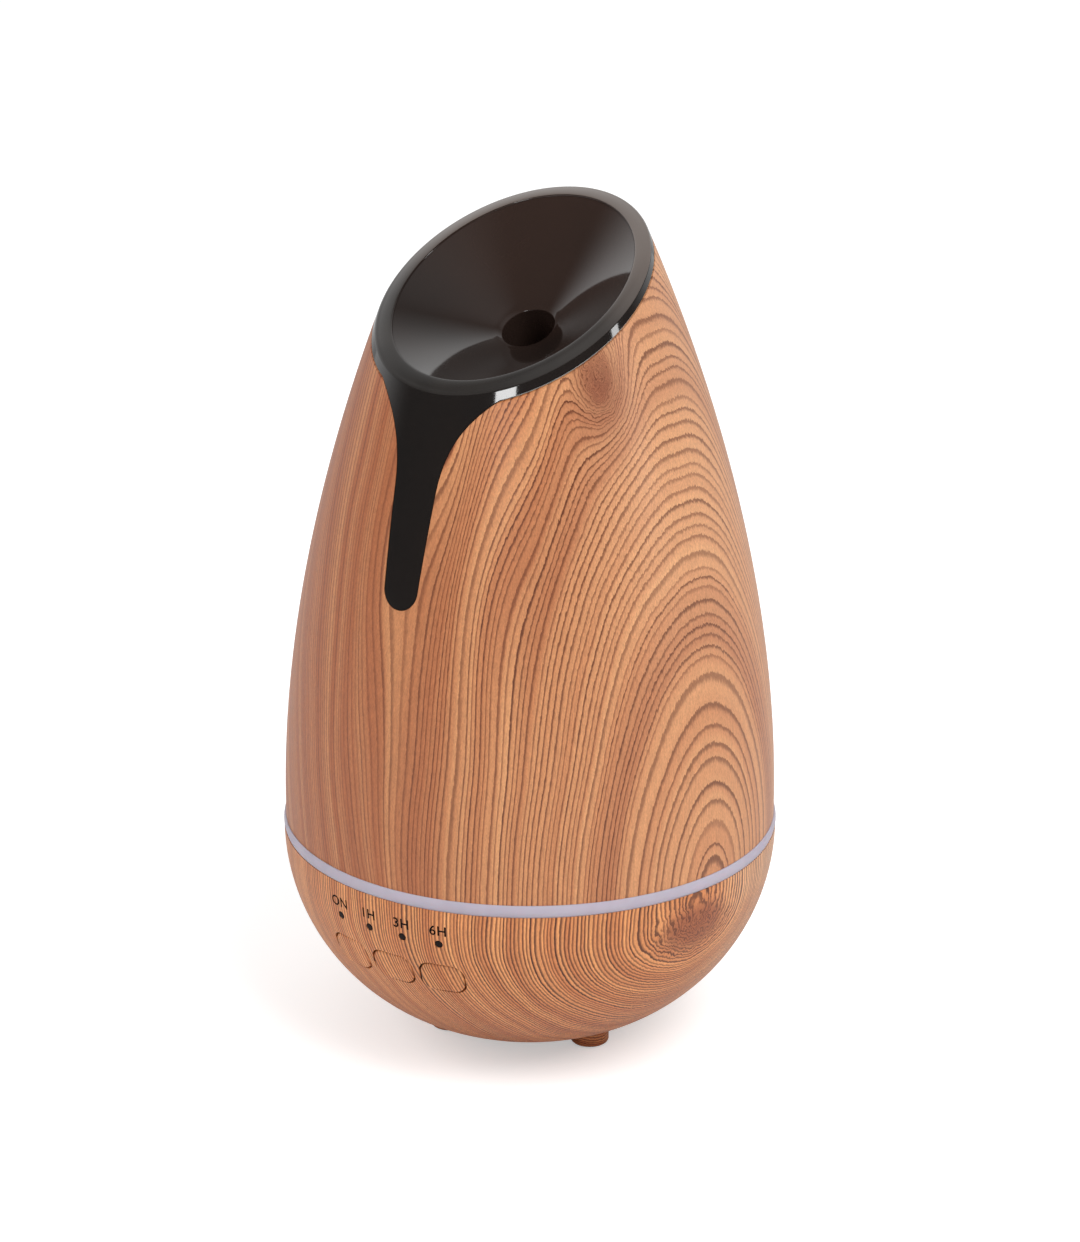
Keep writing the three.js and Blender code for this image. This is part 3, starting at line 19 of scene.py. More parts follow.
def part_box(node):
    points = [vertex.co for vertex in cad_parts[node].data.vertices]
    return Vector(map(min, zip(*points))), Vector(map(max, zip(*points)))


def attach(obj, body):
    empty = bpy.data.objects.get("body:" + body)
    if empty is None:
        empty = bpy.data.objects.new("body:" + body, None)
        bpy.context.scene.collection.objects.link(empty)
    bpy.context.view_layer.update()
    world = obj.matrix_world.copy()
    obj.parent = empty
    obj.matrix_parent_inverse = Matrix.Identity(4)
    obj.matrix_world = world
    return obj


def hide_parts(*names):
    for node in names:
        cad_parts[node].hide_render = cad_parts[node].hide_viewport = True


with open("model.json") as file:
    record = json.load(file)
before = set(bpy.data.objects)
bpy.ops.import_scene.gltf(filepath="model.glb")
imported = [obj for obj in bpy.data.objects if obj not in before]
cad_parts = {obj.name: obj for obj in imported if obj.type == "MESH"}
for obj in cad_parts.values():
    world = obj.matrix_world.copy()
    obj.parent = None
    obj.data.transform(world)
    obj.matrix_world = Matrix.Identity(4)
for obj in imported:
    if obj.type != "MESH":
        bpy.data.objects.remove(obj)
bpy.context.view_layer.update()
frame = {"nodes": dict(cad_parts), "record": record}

log = logging.getLogger("humidifier")

MM = 0.001
BASE_BODY = "base"
COVER_BODY = "cover"
ON_SURFACE = 0.03  # how far a vertex may lie from a turned surface and still take its normal
SMOOTH_ANGLE = math.radians(32)
NEXT_TO_NOTHING = 1e-6
FULL_TURN = 2 * math.pi
QUARTER_TURN = math.pi / 2
SHELL_FLATS = 256  # how many flats stand for a full turn on the shells
FAR = 200.0  # a distance that reaches past the whole object, in millimetres
PAST = 1.0  # how far a tool runs on past what it cuts, in millimetres


# ---- outlines ---------------------------------------------------------------------------------


def bezier(controls: Sequence[Sequence[float]], count: int) -> tuple[np.ndarray, np.ndarray]:
    """A cubic Bezier curve.

    Args:
        controls: The curve's four control points.
        count: How many points are given.

    Returns:
        The curve's points as rows, and its direction at each, of any length.
    """
    t = np.linspace(0, 1, count)[:, None]
    a, b, c, d = (np.array(p, float) for p in controls)
    points = (1 - t) ** 3 * a + 3 * (1 - t) ** 2 * t * b + 3 * (1 - t) * t**2 * c + t**3 * d
    along = 3 * (1 - t) ** 2 * (b - a) + 6 * (1 - t) * t * (c - b) + 3 * t**2 * (d - c)
    return points, along


def circle(count: int, radius: float = 1.0) -> np.ndarray:
    """Points spaced evenly round the origin.

    Args:
        count: How many points.
        radius: Their distance from the origin.

    Returns:
        One row of x and y per point, anticlockwise from +X.
    """
    angles = np.linspace(0, FULL_TURN, count, endpoint=False)
    return radius * np.column_stack([np.cos(angles), np.sin(angles)])


def furthest(
    inside: Callable[[np.ndarray], np.ndarray],
    low: np.ndarray | float,
    high: np.ndarray | float,
    halvings: int = 40,
) -> np.ndarray:
    """The greatest values that still lie inside a form, found by halving the span.

    Args:
        inside: Tells which values lie inside.
        low: Values that do.
        high: Values that don't.
        halvings: How many times the span between the two is halved.

    Returns:
        One value for each in low.
    """
    for _ in range(halvings):
        middle = (low + high) / 2
        within = inside(middle)
        low, high = np.where(within, middle, low), np.where(within, high, middle)
    return low


def placed(points: np.ndarray, frame_of: Matrix) -> np.ndarray:
    """Points of a local frame, as rows in the housing's frame."""
    turn = np.array(frame_of)
    return points @ turn[:3, :3].T + turn[:3, 3]


class Outline:
    """A shell's turned outline: one Bezier curve of [radius, z] points, in millimetres.

    Args:
        controls: The curve's four control points.
        upward: True if the curve runs up from the belt, as the cover's does.
    """

    SAMPLES = 1600

    def __init__(self, controls: Sequence[tuple[float, float]], upward: bool) -> None:
        """Works out the curve's points and its outward normals."""
        self.points, along = bezier(controls, self.SAMPLES)
        along /= np.linalg.norm(along, axis=1)[:, None]
        turn = 1 if upward else -1
        self.normals = turn * np.column_stack([along[:, 1], -along[:, 0]])
        self.upward = upward

    def offset(self, inset: float) -> np.ndarray:
        """The outline moved in by a distance, with its height rising.

        Args:
            inset: The distance, square to the surface; below zero it moves out.

        Returns:
            The points as rows of radius and height.
        """
        moved = self.points - inset * self.normals
        return moved if self.upward else moved[::-1]

    def radius(self, z: np.ndarray | float, inset: float = 0.0) -> np.ndarray | float:
        """The radius at a height, on the outline moved in by a distance."""
        moved = self.offset(inset)
        return np.interp(z, moved[:, 1], moved[:, 0])

    def normal(self, z: np.ndarray, inset: float = 0.0) -> np.ndarray:
        """The outline's outward normal at heights, as rows of radial and upward parts.

        Args:
            z: The heights.
            inset: How far in the outline is moved.

        Returns:
            One row per height.
        """
        moved = self.offset(inset)
        normals = self.normals if self.upward else self.normals[::-1]
        return np.column_stack([np.interp(z, moved[:, 1], normals[:, i]) for i in (0, 1)])

    def steps(self, count: int, inset: float = 0.0) -> np.ndarray:
        """Points spaced evenly along the outline moved in by a distance, height rising.

        Args:
            count: How many steps.
            inset: How far in the outline is moved.

        Returns:
            The steps' ends, as rows of radius and height.
        """
        moved = self.offset(inset)
        lengths = np.linalg.norm(np.diff(moved, axis=0), axis=1)
        travelled = np.concatenate([[0], np.cumsum(lengths)])
        places = np.linspace(0, travelled[-1], count + 1)
        return np.column_stack([np.interp(places, travelled, moved[:, i]) for i in (0, 1)])


@dataclass(frozen=True)
class Belt:
    """The light ring's sizes, read from the frame, which every shell starts from."""

    radius: float
    bottom: float
    top: float

    @classmethod
    def from_frame(cls) -> "Belt":
        """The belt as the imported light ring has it."""
        low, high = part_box("light_ring")
        return cls(radius=high.x / MM, bottom=low.z / MM, top=high.z / MM)

    @property
    def middle(self) -> float:
        """The height of the ring's middle."""
        return (self.bottom + self.top) / 2


@dataclass(frozen=True)
class Slant:
    """The plane of the funnel's rim, with its own axes: across, up the slope, and square to it.

    Args:
        outline: The cover's outline, which the plane cuts.
        tilt: The angle between the plane and the level, in radians.
        height: The plane's height on the housing's axis.
    """

    LONGEST: ClassVar[float] = 120.0  # more than any distance from the frame's axis to the egg

    outline: Outline
    tilt: float
    height: float

    @cached_property
    def ends(self) -> tuple[Vector, Vector]:
        """Where the plane meets the egg at the front and at the back."""
        return self._end(-1), self._end(1)

    def _end(self, side: int) -> Vector:
        """Where the plane meets the egg on one side.

        Args:
            side: -1 for the front and 1 for the back.

        Returns:
            The point, on the housing's middle plane.
        """
        climb = side * math.tan(self.tilt)

        def inside(reach: np.ndarray) -> np.ndarray:
            """Whether the plane is still inside the egg at a distance from the axis."""
            return reach < self.outline.radius(self.height + reach * climb)

        reach = float(furthest(inside, 0.0, FAR, halvings=50))
        return Vector((0, side * reach, self.height + reach * climb))

    @cached_property
    def centre(self) -> Vector:
        """The middle of the slanted cut."""
        return (self.ends[0] + self.ends[1]) / 2

    @cached_property
    def half_length(self) -> float:
        """Half the cut's length up the slope."""
        return (self.ends[1] - self.ends[0]).length / 2

    @cached_property
    def half_width(self) -> float:
        """Half the cut's width across."""
        return math.sqrt(self.outline.radius(self.centre.z) ** 2 - self.centre.y**2)

    @cached_property
    def axes(self) -> tuple[np.ndarray, np.ndarray, np.ndarray]:
        """The unit vectors across, up the slope, and out of the plane."""
        c, s = math.cos(self.tilt), math.sin(self.tilt)
        return np.array([1, 0, 0]), np.array([0, c, s]), np.array([0, -s, c])

    def matrix(self) -> Matrix:
        """The transform from the slanted frame to the housing's."""
        return Matrix.Translation(self.centre) @ Matrix.Rotation(self.tilt, 4, "X")

    def ring(self, angles: np.ndarray, reach: np.ndarray | float, depth: float) -> np.ndarray:
        """Points at a distance from the slanted frame's axis, at a depth below the plane.

        Args:
            angles: Directions round the axis, in radians.
            reach: One distance, or one per angle.
            depth: Distance below the plane.

        Returns:
            One point per angle.
        """
        across, slope, out = self.axes
        spread = np.cos(angles)[:, None] * across + np.sin(angles)[:, None] * slope
        return np.array(self.centre) - depth * out + np.reshape(reach, (-1, 1)) * spread

    def on_egg(self, angles: np.ndarray, depth: float, inset: float) -> np.ndarray:
        """Points where the egg, moved in by an inset, meets the level at a depth.

        Args:
            angles: Directions round the slanted frame's axis, in radians.
            depth: Distance below the rim's plane.
            inset: Distance in from the egg's surface.

        Returns:
            One point per angle.
        """

        def inside(reach: np.ndarray) -> np.ndarray:
            """Which points at these distances from the slanted frame's axis lie in the egg."""
            at = self.ring(angles, reach, depth)
            return np.hypot(at[:, 0], at[:, 1]) < self.outline.radius(at[:, 2], inset)

        reach = furthest(inside, np.zeros(len(angles)), np.full(len(angles), self.LONGEST))
        return self.ring(angles, reach, depth)

    def ellipse(
        self, angles: np.ndarray, half_x: float, half_y: float, depth: float
    ) -> np.ndarray:
        """Points of an ellipse round the slanted frame's axis, at a depth below the plane.

        Args:
            angles: Directions round the axis, in radians.
            half_x: Half the ellipse's width across.
            half_y: Half its length up the slope.
            depth: Distance below the plane.

        Returns:
            One point per angle.
        """
        reach = half_x * half_y / np.hypot(half_y * np.cos(angles), half_x * np.sin(angles))
        return self.ring(angles, reach, depth)


# ---- meshes -----------------------------------------------------------------------------------


class Operation(Enum):
    """How one solid changes another."""

    JOIN = "UNION"
    CUT = "DIFFERENCE"
    KEEP_COMMON = "INTERSECT"


def new_object(name: str, points: np.ndarray, faces: Iterable[Sequence[int]]) -> bpy.types.Object:
    """A mesh object from points in millimetres, linked to the scene.

    Args:
        name: The object's name.
        points: One row per vertex.
        faces: Vertex numbers of each face.

    Returns:
        The new object, whose mesh is still in millimetres.
    """
    mesh = bpy.data.meshes.new(name)
    mesh.from_pydata(points.tolist(), [], [list(f) for f in faces])
    mesh.validate()
    made = bpy.data.objects.new(name, mesh)
    bpy.context.scene.collection.objects.link(made)
    return made


def ring_solid(name: str, rings: Sequence[np.ndarray], looped: bool) -> bpy.types.Object:
    """A closed solid through rings of points.

    Args:
        name: The object's name.
        rings: Rings with the same number of points.
        looped: True joins the last ring to the first; False closes both ends with a fan.

    Returns:
        The new object, with its faces pointing out.
    """
    count = len(rings[0])
    points = np.concatenate(rings)
    faces: list[Sequence[int]] = []
    for ring in range(len(rings) if looped else len(rings) - 1):
        near = ring * count
        far = (ring + 1) % len(rings) * count
        for i in range(count):
            j = (i + 1) % count
            faces.append((near + i, near + j, far + j, far + i))
    if not looped:
        for ring in (0, len(rings) - 1):
            points = np.vstack([points, rings[ring].mean(axis=0)])
            hub = len(points) - 1
            start = ring * count
            for i in range(count):
                near, far = start + i, start + (i + 1) % count
                faces.append((far, near, hub) if ring == 0 else (near, far, hub))
    made = new_object(name, points, faces)
    face_out(made.data)
    return made


def face_out(mesh: bpy.types.Mesh) -> None:
    """Flips a closed mesh whose faces point in.

    Args:
        mesh: The mesh.
    """
    points = vertex_array(mesh)
    mesh.calc_loop_triangles()
    corners = np.array([t.vertices[:] for t in mesh.loop_triangles])
    a, b, c = (points[corners[:, i]] for i in range(3))
    if np.einsum("ij,ij->i", a, np.cross(b, c)).sum() < 0:
        mesh.flip_normals()


def vertex_array(mesh: bpy.types.Mesh) -> np.ndarray:
    """A mesh's vertices as rows.

    Args:
        mesh: The mesh.

    Returns:
        One row per vertex.
    """
    flat = np.empty(len(mesh.vertices) * 3)
    mesh.vertices.foreach_get("co", flat)
    return flat.reshape(-1, 3)


def turned(
    name: str, profile: np.ndarray, segments: int, at: Sequence[float] = (0, 0)
) -> bpy.types.Object:
    """A solid turned round an upright axis.

    Args:
        name: The object's name.
        profile: Rows of radius and height: a closed loop, or a line that the axis closes.
        segments: Flats round the turn.
        at: The axis's place.

    Returns:
        The new object.
    """
    around = circle(segments)
    on_axis = profile[0][0] < NEXT_TO_NOTHING and profile[-1][0] < NEXT_TO_NOTHING
    rows = profile[1:-1] if on_axis else profile
    rings = [np.column_stack([np.array(at) + r * around, np.full(segments, z)]) for r, z in rows]
    return ring_solid(name, rings, looped=not on_axis)


def column(
    radius: float, low: float, high: float, at: Sequence[float] = (0, 0), segments: int = 40
) -> bpy.types.Object:
    """A round bar between two heights.

    Args:
        radius: The bar's radius.
        low: The height of its foot.
        high: The height of its top.
        at: The place of its axis.
        segments: Flats round it.

    Returns:
        The new object.
    """
    profile = np.array([[0, low], [radius, low], [radius, high], [0, high]])
    return turned("column", profile, segments, at)


def block(
    low: Sequence[float], high: Sequence[float], place: Matrix | None = None
) -> bpy.types.Object:
    """A squared solid between two corners, moved by a transform.

    Args:
        low: The lowest corner.
        high: The highest corner.
        place: The transform.

    Returns:
        The new object.
    """
    x, y = (low[0], high[0]), (low[1], high[1])
    base = [(x[0], y[0]), (x[1], y[0]), (x[1], y[1]), (x[0], y[1])]
    return prism(np.array(base), low[2], high[2], place)


def prism(
    outline: np.ndarray, low: float, high: float, place: Matrix | None = None
) -> bpy.types.Object:
    """A flat outline made solid between two heights, then moved by a transform.

    Args:
        outline: The outline's corners, as rows of x and y.
        low: The first height.
        high: The second height.
        place: The transform.

    Returns:
        The new object, with its faces pointing out.
    """
    count = len(outline)
    points = np.vstack([np.column_stack([outline, np.full(count, z)]) for z in (low, high)])
    faces: list[Sequence[int]] = [range(count - 1, -1, -1), range(count, 2 * count)]
    faces += [(i, (i + 1) % count, count + (i + 1) % count, count + i) for i in range(count)]
    made = new_object("prism", points, faces)
    if place:
        made.data.transform(place)
    face_out(made.data)
    return made


def gathered(parts: Sequence[bpy.types.Object]) -> bpy.types.Object:
    """Solids that don't touch, put into one mesh.

    Args:
        parts: The solids, which it uses up.

    Returns:
        The new object.
    """
    points, faces, start = [], [], 0
    for part in parts:
        points.append(vertex_array(part.data))
        faces += [[start + v for v in p.vertices] for p in part.data.polygons]
        start += len(part.data.vertices)
        bpy.data.objects.remove(part)
    return new_object("gathered", np.concatenate(points), faces)


def evaluated_mesh(source: bpy.types.Object) -> bpy.types.Mesh:
    """A new mesh of what an object comes to with its modifiers or as a text."""
    graph = bpy.context.evaluated_depsgraph_get()
    return bpy.data.meshes.new_from_object(source.evaluated_get(graph))


def combine(
    target: bpy.types.Object, tool: bpy.types.Object, operation: Operation
) -> bpy.types.Object:
    """Joins, cuts or trims one solid with another, which it uses up.

    Args:
        target: The solid that is changed.
        tool: The solid that changes it.
        operation: What is done.

    Returns:
        The changed target.
    """
    step = target.modifiers.new("combine", "BOOLEAN")
    step.operation = operation.value
    step.solver = "MANIFOLD"
    step.object = tool
    changed = evaluated_mesh(target)
    target.modifiers.remove(step)
    target.data = changed
    bpy.data.objects.remove(tool)
    return target


def rounded_rectangle(
    width: float, height: float, corner: float, per_corner: int = 10
) -> np.ndarray:
    """A rectangle's outline with round corners, centred on the origin, anticlockwise.

    Args:
        width: The outline's width.
        height: Its height.
        corner: The corners' radius.
        per_corner: Points on each corner.

    Returns:
        One row of x and y per point.
    """
    quarter = np.linspace(0, QUARTER_TURN, per_corner)
    points = []
    for turn, (x, y) in enumerate([(1, 1), (-1, 1), (-1, -1), (1, -1)]):
        a = quarter + turn * QUARTER_TURN
        middle = np.array([x * (width / 2 - corner), y * (height / 2 - corner)])
        points.append(middle + corner * np.column_stack([np.cos(a), np.sin(a)]))
    return np.concatenate(points)


def settle(piece: bpy.types.Object, surfaces: Sequence[tuple[Outline, float]] = ()) -> None:
    """Turns a finished mesh into metres and gives its corners smooth normals.

    Args:
        piece: The object, whose mesh is in millimetres.
        surfaces: Turned surfaces, as an outline and an inset, whose true normals the corners on
            them take.
    """
    mesh = piece.data
    for polygon in mesh.polygons:
        polygon.use_smooth = True
    mesh.set_sharp_from_angle(angle=SMOOTH_ANGLE)
    points = vertex_array(mesh)
    normals = np.empty(len(mesh.loops) * 3)
    mesh.corner_normals.foreach_get("vector", normals)
    normals = normals.reshape(-1, 3)
    corners = np.empty(len(mesh.loops), int)
    mesh.loops.foreach_get("vertex_index", corners)
    flat = np.empty(len(mesh.polygons) * 3)
    mesh.polygons.foreach_get("normal", flat)
    totals = np.empty(len(mesh.polygons), int)
    mesh.polygons.foreach_get("loop_total", totals)
    face_normals = np.repeat(flat.reshape(-1, 3), totals, axis=0)
    radius = np.hypot(points[:, 0], points[:, 1])
    for outline, inset in surfaces:
        reach = outline.offset(inset)
        near = points[:, 2] > reach[0, 1] - ON_SURFACE
        near &= points[:, 2] < reach[-1, 1] + ON_SURFACE
        near &= np.abs(radius - outline.radius(points[:, 2], inset)) < ON_SURFACE
        parts = outline.normal(points[:, 2], inset)
        around = points[:, :2] / np.maximum(radius, NEXT_TO_NOTHING)[:, None]
        true = np.column_stack([parts[:, :1] * around, parts[:, 1]])[corners]
        facing = np.einsum("ij,ij->i", true, face_normals)
        chosen = near[corners] & (np.abs(facing) > math.cos(SMOOTH_ANGLE / 2))
        normals[chosen] = true[chosen] * np.sign(facing[chosen])[:, None]
    mesh.transform(Matrix.Scale(MM, 4))
    mesh.normals_split_custom_set(normals.tolist())


# ---- material graphs --------------------------------------------------------------------------


def linear(code: str) -> tuple[float, float, float, float]:
    """A display colour as the linear values that a shader takes, by the standard sRGB curve.

    Args:
        code: The colour as # and six hexadecimal digits.

    Returns:
        Red, green, blue and an alpha of 1.
    """
    parts = [int(code[i : i + 2], 16) / 255 for i in (1, 3, 5)]
    red, green, blue = (c / 12.92 if c <= 0.04045 else ((c + 0.055) / 1.055) ** 2.4 for c in parts)
    return red, green, blue, 1.0


class Term:
    """A value in a material's graph. Arithmetic on it adds nodes."""

    def __init__(self, graph: "Graph", socket: bpy.types.NodeSocket) -> None:
        """Keeps the graph and the socket that gives the value."""
        self.graph = graph
        self.socket = socket

    def __add__(self, other: "Term | float") -> "Term":
        """The sum."""
        return self.graph.math("ADD", self, other)

    def __sub__(self, other: "Term | float") -> "Term":
        """The difference."""
        return self.graph.math("SUBTRACT", self, other)

    def __rsub__(self, other: float) -> "Term":
        """A number less this value."""
        return self.graph.math("SUBTRACT", other, self)

    def __mul__(self, other: "Term | float") -> "Term":
        """The product."""
        return self.graph.math("MULTIPLY", self, other)

    def __truediv__(self, other: "Term | float") -> "Term":
        """The quotient."""
        return self.graph.math("DIVIDE", self, other)

    __radd__ = __add__
    __rmul__ = __mul__


class Graph:
    """A node graph, emptied and then built up by its methods."""

    def __init__(self, tree: bpy.types.NodeTree) -> None:
        """Empties the tree."""
        self.tree = tree
        self.tree.nodes.clear()

    def node(self, kind: str, **settings: object) -> bpy.types.Node:
        """A new node with its settings.

        Args:
            kind: The node's type.
            settings: What is set on it, by name.

        Returns:
            The node.
        """
        made = self.tree.nodes.new(kind)
        for key, value in settings.items():
            setattr(made, key, value)
        return made

    def feed(self, socket: bpy.types.NodeSocket, value: "Term | float | Sequence[float]") -> None:
        """Links a value to a socket, or writes a constant on it.

        Args:
            socket: The input.
            value: What it gets.
        """
        if isinstance(value, Term):
            self.tree.links.new(value.socket, socket)
        else:
            socket.default_value = value

    def math(self, operation: str, *values: "Term | float") -> Term:
        """The result of a Math node.

        Args:
            operation: What the node does.
            values: Its inputs, in order.

        Returns:
            The result.
        """
        made = self.node("ShaderNodeMath", operation=operation)
        for socket, value in zip(made.inputs, values):
            self.feed(socket, value)
        return Term(self, made.outputs[0])

    def vector(self, x: "Term | float", y: "Term | float", z: "Term | float") -> Term:
        """Three values as one vector.

        Args:
            x: The first value.
            y: The second.
            z: The third.

        Returns:
            The vector.
        """
        made = self.node("ShaderNodeCombineXYZ")
        for socket, value in zip(made.inputs, (x, y, z)):
            self.feed(socket, value)
        return Term(self, made.outputs[0])

    def noise(self, at: Term, detail: float = 2.0, roughness: float = 0.5) -> Term:
        """Smooth noise from 0 to 1 at a vector.

        Args:
            at: The vector.
            detail: How many finer layers it has.
            roughness: How strong they are.

        Returns:
            The noise.
        """
        made = self.node("ShaderNodeTexNoise")
        self.feed(made.inputs["Vector"], at)
        made.inputs["Scale"].default_value = 1.0
        made.inputs["Detail"].default_value = detail
        made.inputs["Roughness"].default_value = roughness
        return Term(self, made.outputs[0])

    def wander(self, along: Term, scale: float, detail: float = 1.0) -> Term:
        """Smooth noise from 0 to 1 along one value.

        Args:
            along: The value.
            scale: How many waves there are to 1 of it.
            detail: How many finer layers it has.

        Returns:
            The noise.
        """
        made = self.node("ShaderNodeTexNoise", noise_dimensions="1D")
        self.feed(made.inputs["W"], along)
        made.inputs["Scale"].default_value = scale
        made.inputs["Detail"].default_value = detail
        return Term(self, made.outputs[0])

    def chance(self, along: Term) -> Term:
        """A fixed random number from 0 to 1 for each whole value.

        Args:
            along: The value.

        Returns:
            The number.
        """
        made = self.node("ShaderNodeTexWhiteNoise", noise_dimensions="1D")
        self.feed(made.inputs["W"], along)
        return Term(self, made.outputs[0])

    def rise(self, value: Term, low: float, high: float) -> Term:
        """A soft step from 0 at one value to 1 at another, or the other way round.

        Args:
            value: What steps.
            low: Where the step is 0.
            high: Where the step is 1.

        Returns:
            The step.
        """
        made = self.node("ShaderNodeMapRange", interpolation_type="SMOOTHSTEP")
        self.feed(made.inputs[0], value)
        ends = (min(low, high), max(low, high), float(low > high), float(low < high))
        for socket, number in zip(made.inputs[1:], ends):
            socket.default_value = number
        return Term(self, made.outputs[0])

    def mix(self, share: "Term | float", first: "Term | str", second: "Term | str") -> Term:
        """One colour faded into another by a share.

        Args:
            share: How much of the second shows.
            first: A colour, or its code.
            second: Another.

        Returns:
            The colour.
        """
        made = self.node("ShaderNodeMix", data_type="RGBA")
        self.feed(made.inputs[0], share)
        for socket, colour in ((made.inputs[6], first), (made.inputs[7], second)):
            self.feed(socket, linear(colour) if isinstance(colour, str) else colour)
        return Term(self, made.outputs[2])

    def dimmed(self, colour: Term, share: "Term | float") -> Term:
        """A colour multiplied by a grey share.

        Args:
            colour: The colour.
            share: The share.

        Returns:
            The dimmed colour.
        """
        made = self.node("ShaderNodeMix", data_type="RGBA", blend_type="MULTIPLY")
        made.inputs[0].default_value = 1.0
        self.feed(made.inputs[6], colour)
        self.feed(made.inputs[7], self.vector(share, share, share))
        return Term(self, made.outputs[2])

    def shader(self, kind: str, **sockets: "Term | float | Sequence[float]") -> Term:
        """A shader node with its sockets fed, named with underscores for spaces.

        Args:
            kind: The node's type.
            sockets: What its sockets get, by name.

        Returns:
            The shader.
        """
        made = self.node(kind)
        for key, value in sockets.items():
            self.feed(made.inputs[key.replace("_", " ")], value)
        return Term(self, made.outputs[0])

    def either(self, share: "Term | float", first: Term, second: Term) -> Term:
        """One shader faded into another by a share.

        Args:
            share: How much of the second shows.
            first: A shader.
            second: Another.

        Returns:
            The mixed shader.
        """
        made = self.node("ShaderNodeMixShader")
        for socket, value in zip(made.inputs, (share, first, second)):
            self.feed(socket, value)
        return Term(self, made.outputs[0])

    def seen_by(self, ray: str) -> Term:
        """1 for rays of one kind, and 0 for the rest."""
        return Term(self, self.node("ShaderNodeLightPath").outputs[f"Is {ray} Ray"])

    def finish(self, kind: str, surface: Term) -> None:
        """Links a shader to the graph's output."""
        self.feed(self.node(kind).inputs["Surface"], surface)


class Surface(Graph):
    """The graph of one material with a principled shader, in millimetres of the housing."""

    def __init__(self, name: str) -> None:
        """Makes the material with its shader, still unfed.

        Args:
            name: The material's name.
        """
        self.material = bpy.data.materials.new(name)
        self.material.use_nodes = True
        super().__init__(self.material.node_tree)
        self.principled = self.node("ShaderNodeBsdfPrincipled")
        self.finish("ShaderNodeOutputMaterial", Term(self, self.principled.outputs[0]))

    @cached_property
    def place(self) -> tuple[Term, Term, Term]:
        """The point's coordinates in the housing's frame, in millimetres.

        Returns:
            The three coordinates.
        """
        source = self.node("ShaderNodeTexCoord")
        split = self.node("ShaderNodeSeparateXYZ")
        self.tree.links.new(source.outputs["Object"], split.inputs[0])
        x, y, z = (Term(self, split.outputs[i]) * (1 / MM) for i in range(3))
        return x, y, z

    def stretched(self, x: float, y: float, z: float, shift: float = 0.0) -> Term:
        """The place with each coordinate multiplied, for noise of another grain each way."""
        px, py, pz = self.place
        return self.vector(px * x + shift, py * y, pz * z)

    def speckle(
        self,
        x: float,
        y: float,
        z: float,
        shift: float = 0.0,
        detail: float = 2.0,
        roughness: float = 0.5,
    ) -> Term:
        """Noise from 0 to 1 at the place, as fine each way as the place is stretched."""
        return self.noise(self.stretched(x, y, z, shift), detail, roughness)

    def bump(self, height: Term, depth: float) -> Term:
        """A normal from a height from 0 to 1 and its depth in millimetres.

        Args:
            height: The height.
            depth: How deep it goes.

        Returns:
            The normal.
        """
        made = self.node("ShaderNodeBump")
        made.inputs["Distance"].default_value = depth * MM
        self.feed(made.inputs["Height"], height)
        return Term(self, made.outputs[0])

    def set(self, **sockets: "Term | float | Sequence[float]") -> None:
        """Feeds the shader's sockets, named with underscores for spaces."""
        for key, value in sockets.items():
            self.feed(self.principled.inputs[key.replace("_", " ")], value)


# ---- finishes ---------------------------------------------------------------------------------


class Figure(Enum):
    """Which part of the printed wood a piece shows."""

    ARCHES = "arches"
    KNOT = "knot"


@dataclass(frozen=True)
class Grain:
    """A figure's values at a point.

    Args:
        rings: How many growth rings lie inside the point.
        reach: The distance from the figure's heart, in degrees round the housing.
        ruddy: The share of the redder tone, from 0 to 1.
        knot: The share of a knot's tone, from 0 to 1.
        painted_sheen: The share of the painted sheen's light tone, from 0 to 1.
        contrast: How dark the rings' edges are, from 0 to 1.
    """

    rings: Term
    reach: Term
    ruddy: Term
    knot: Term
    painted_sheen: Term
    contrast: Term


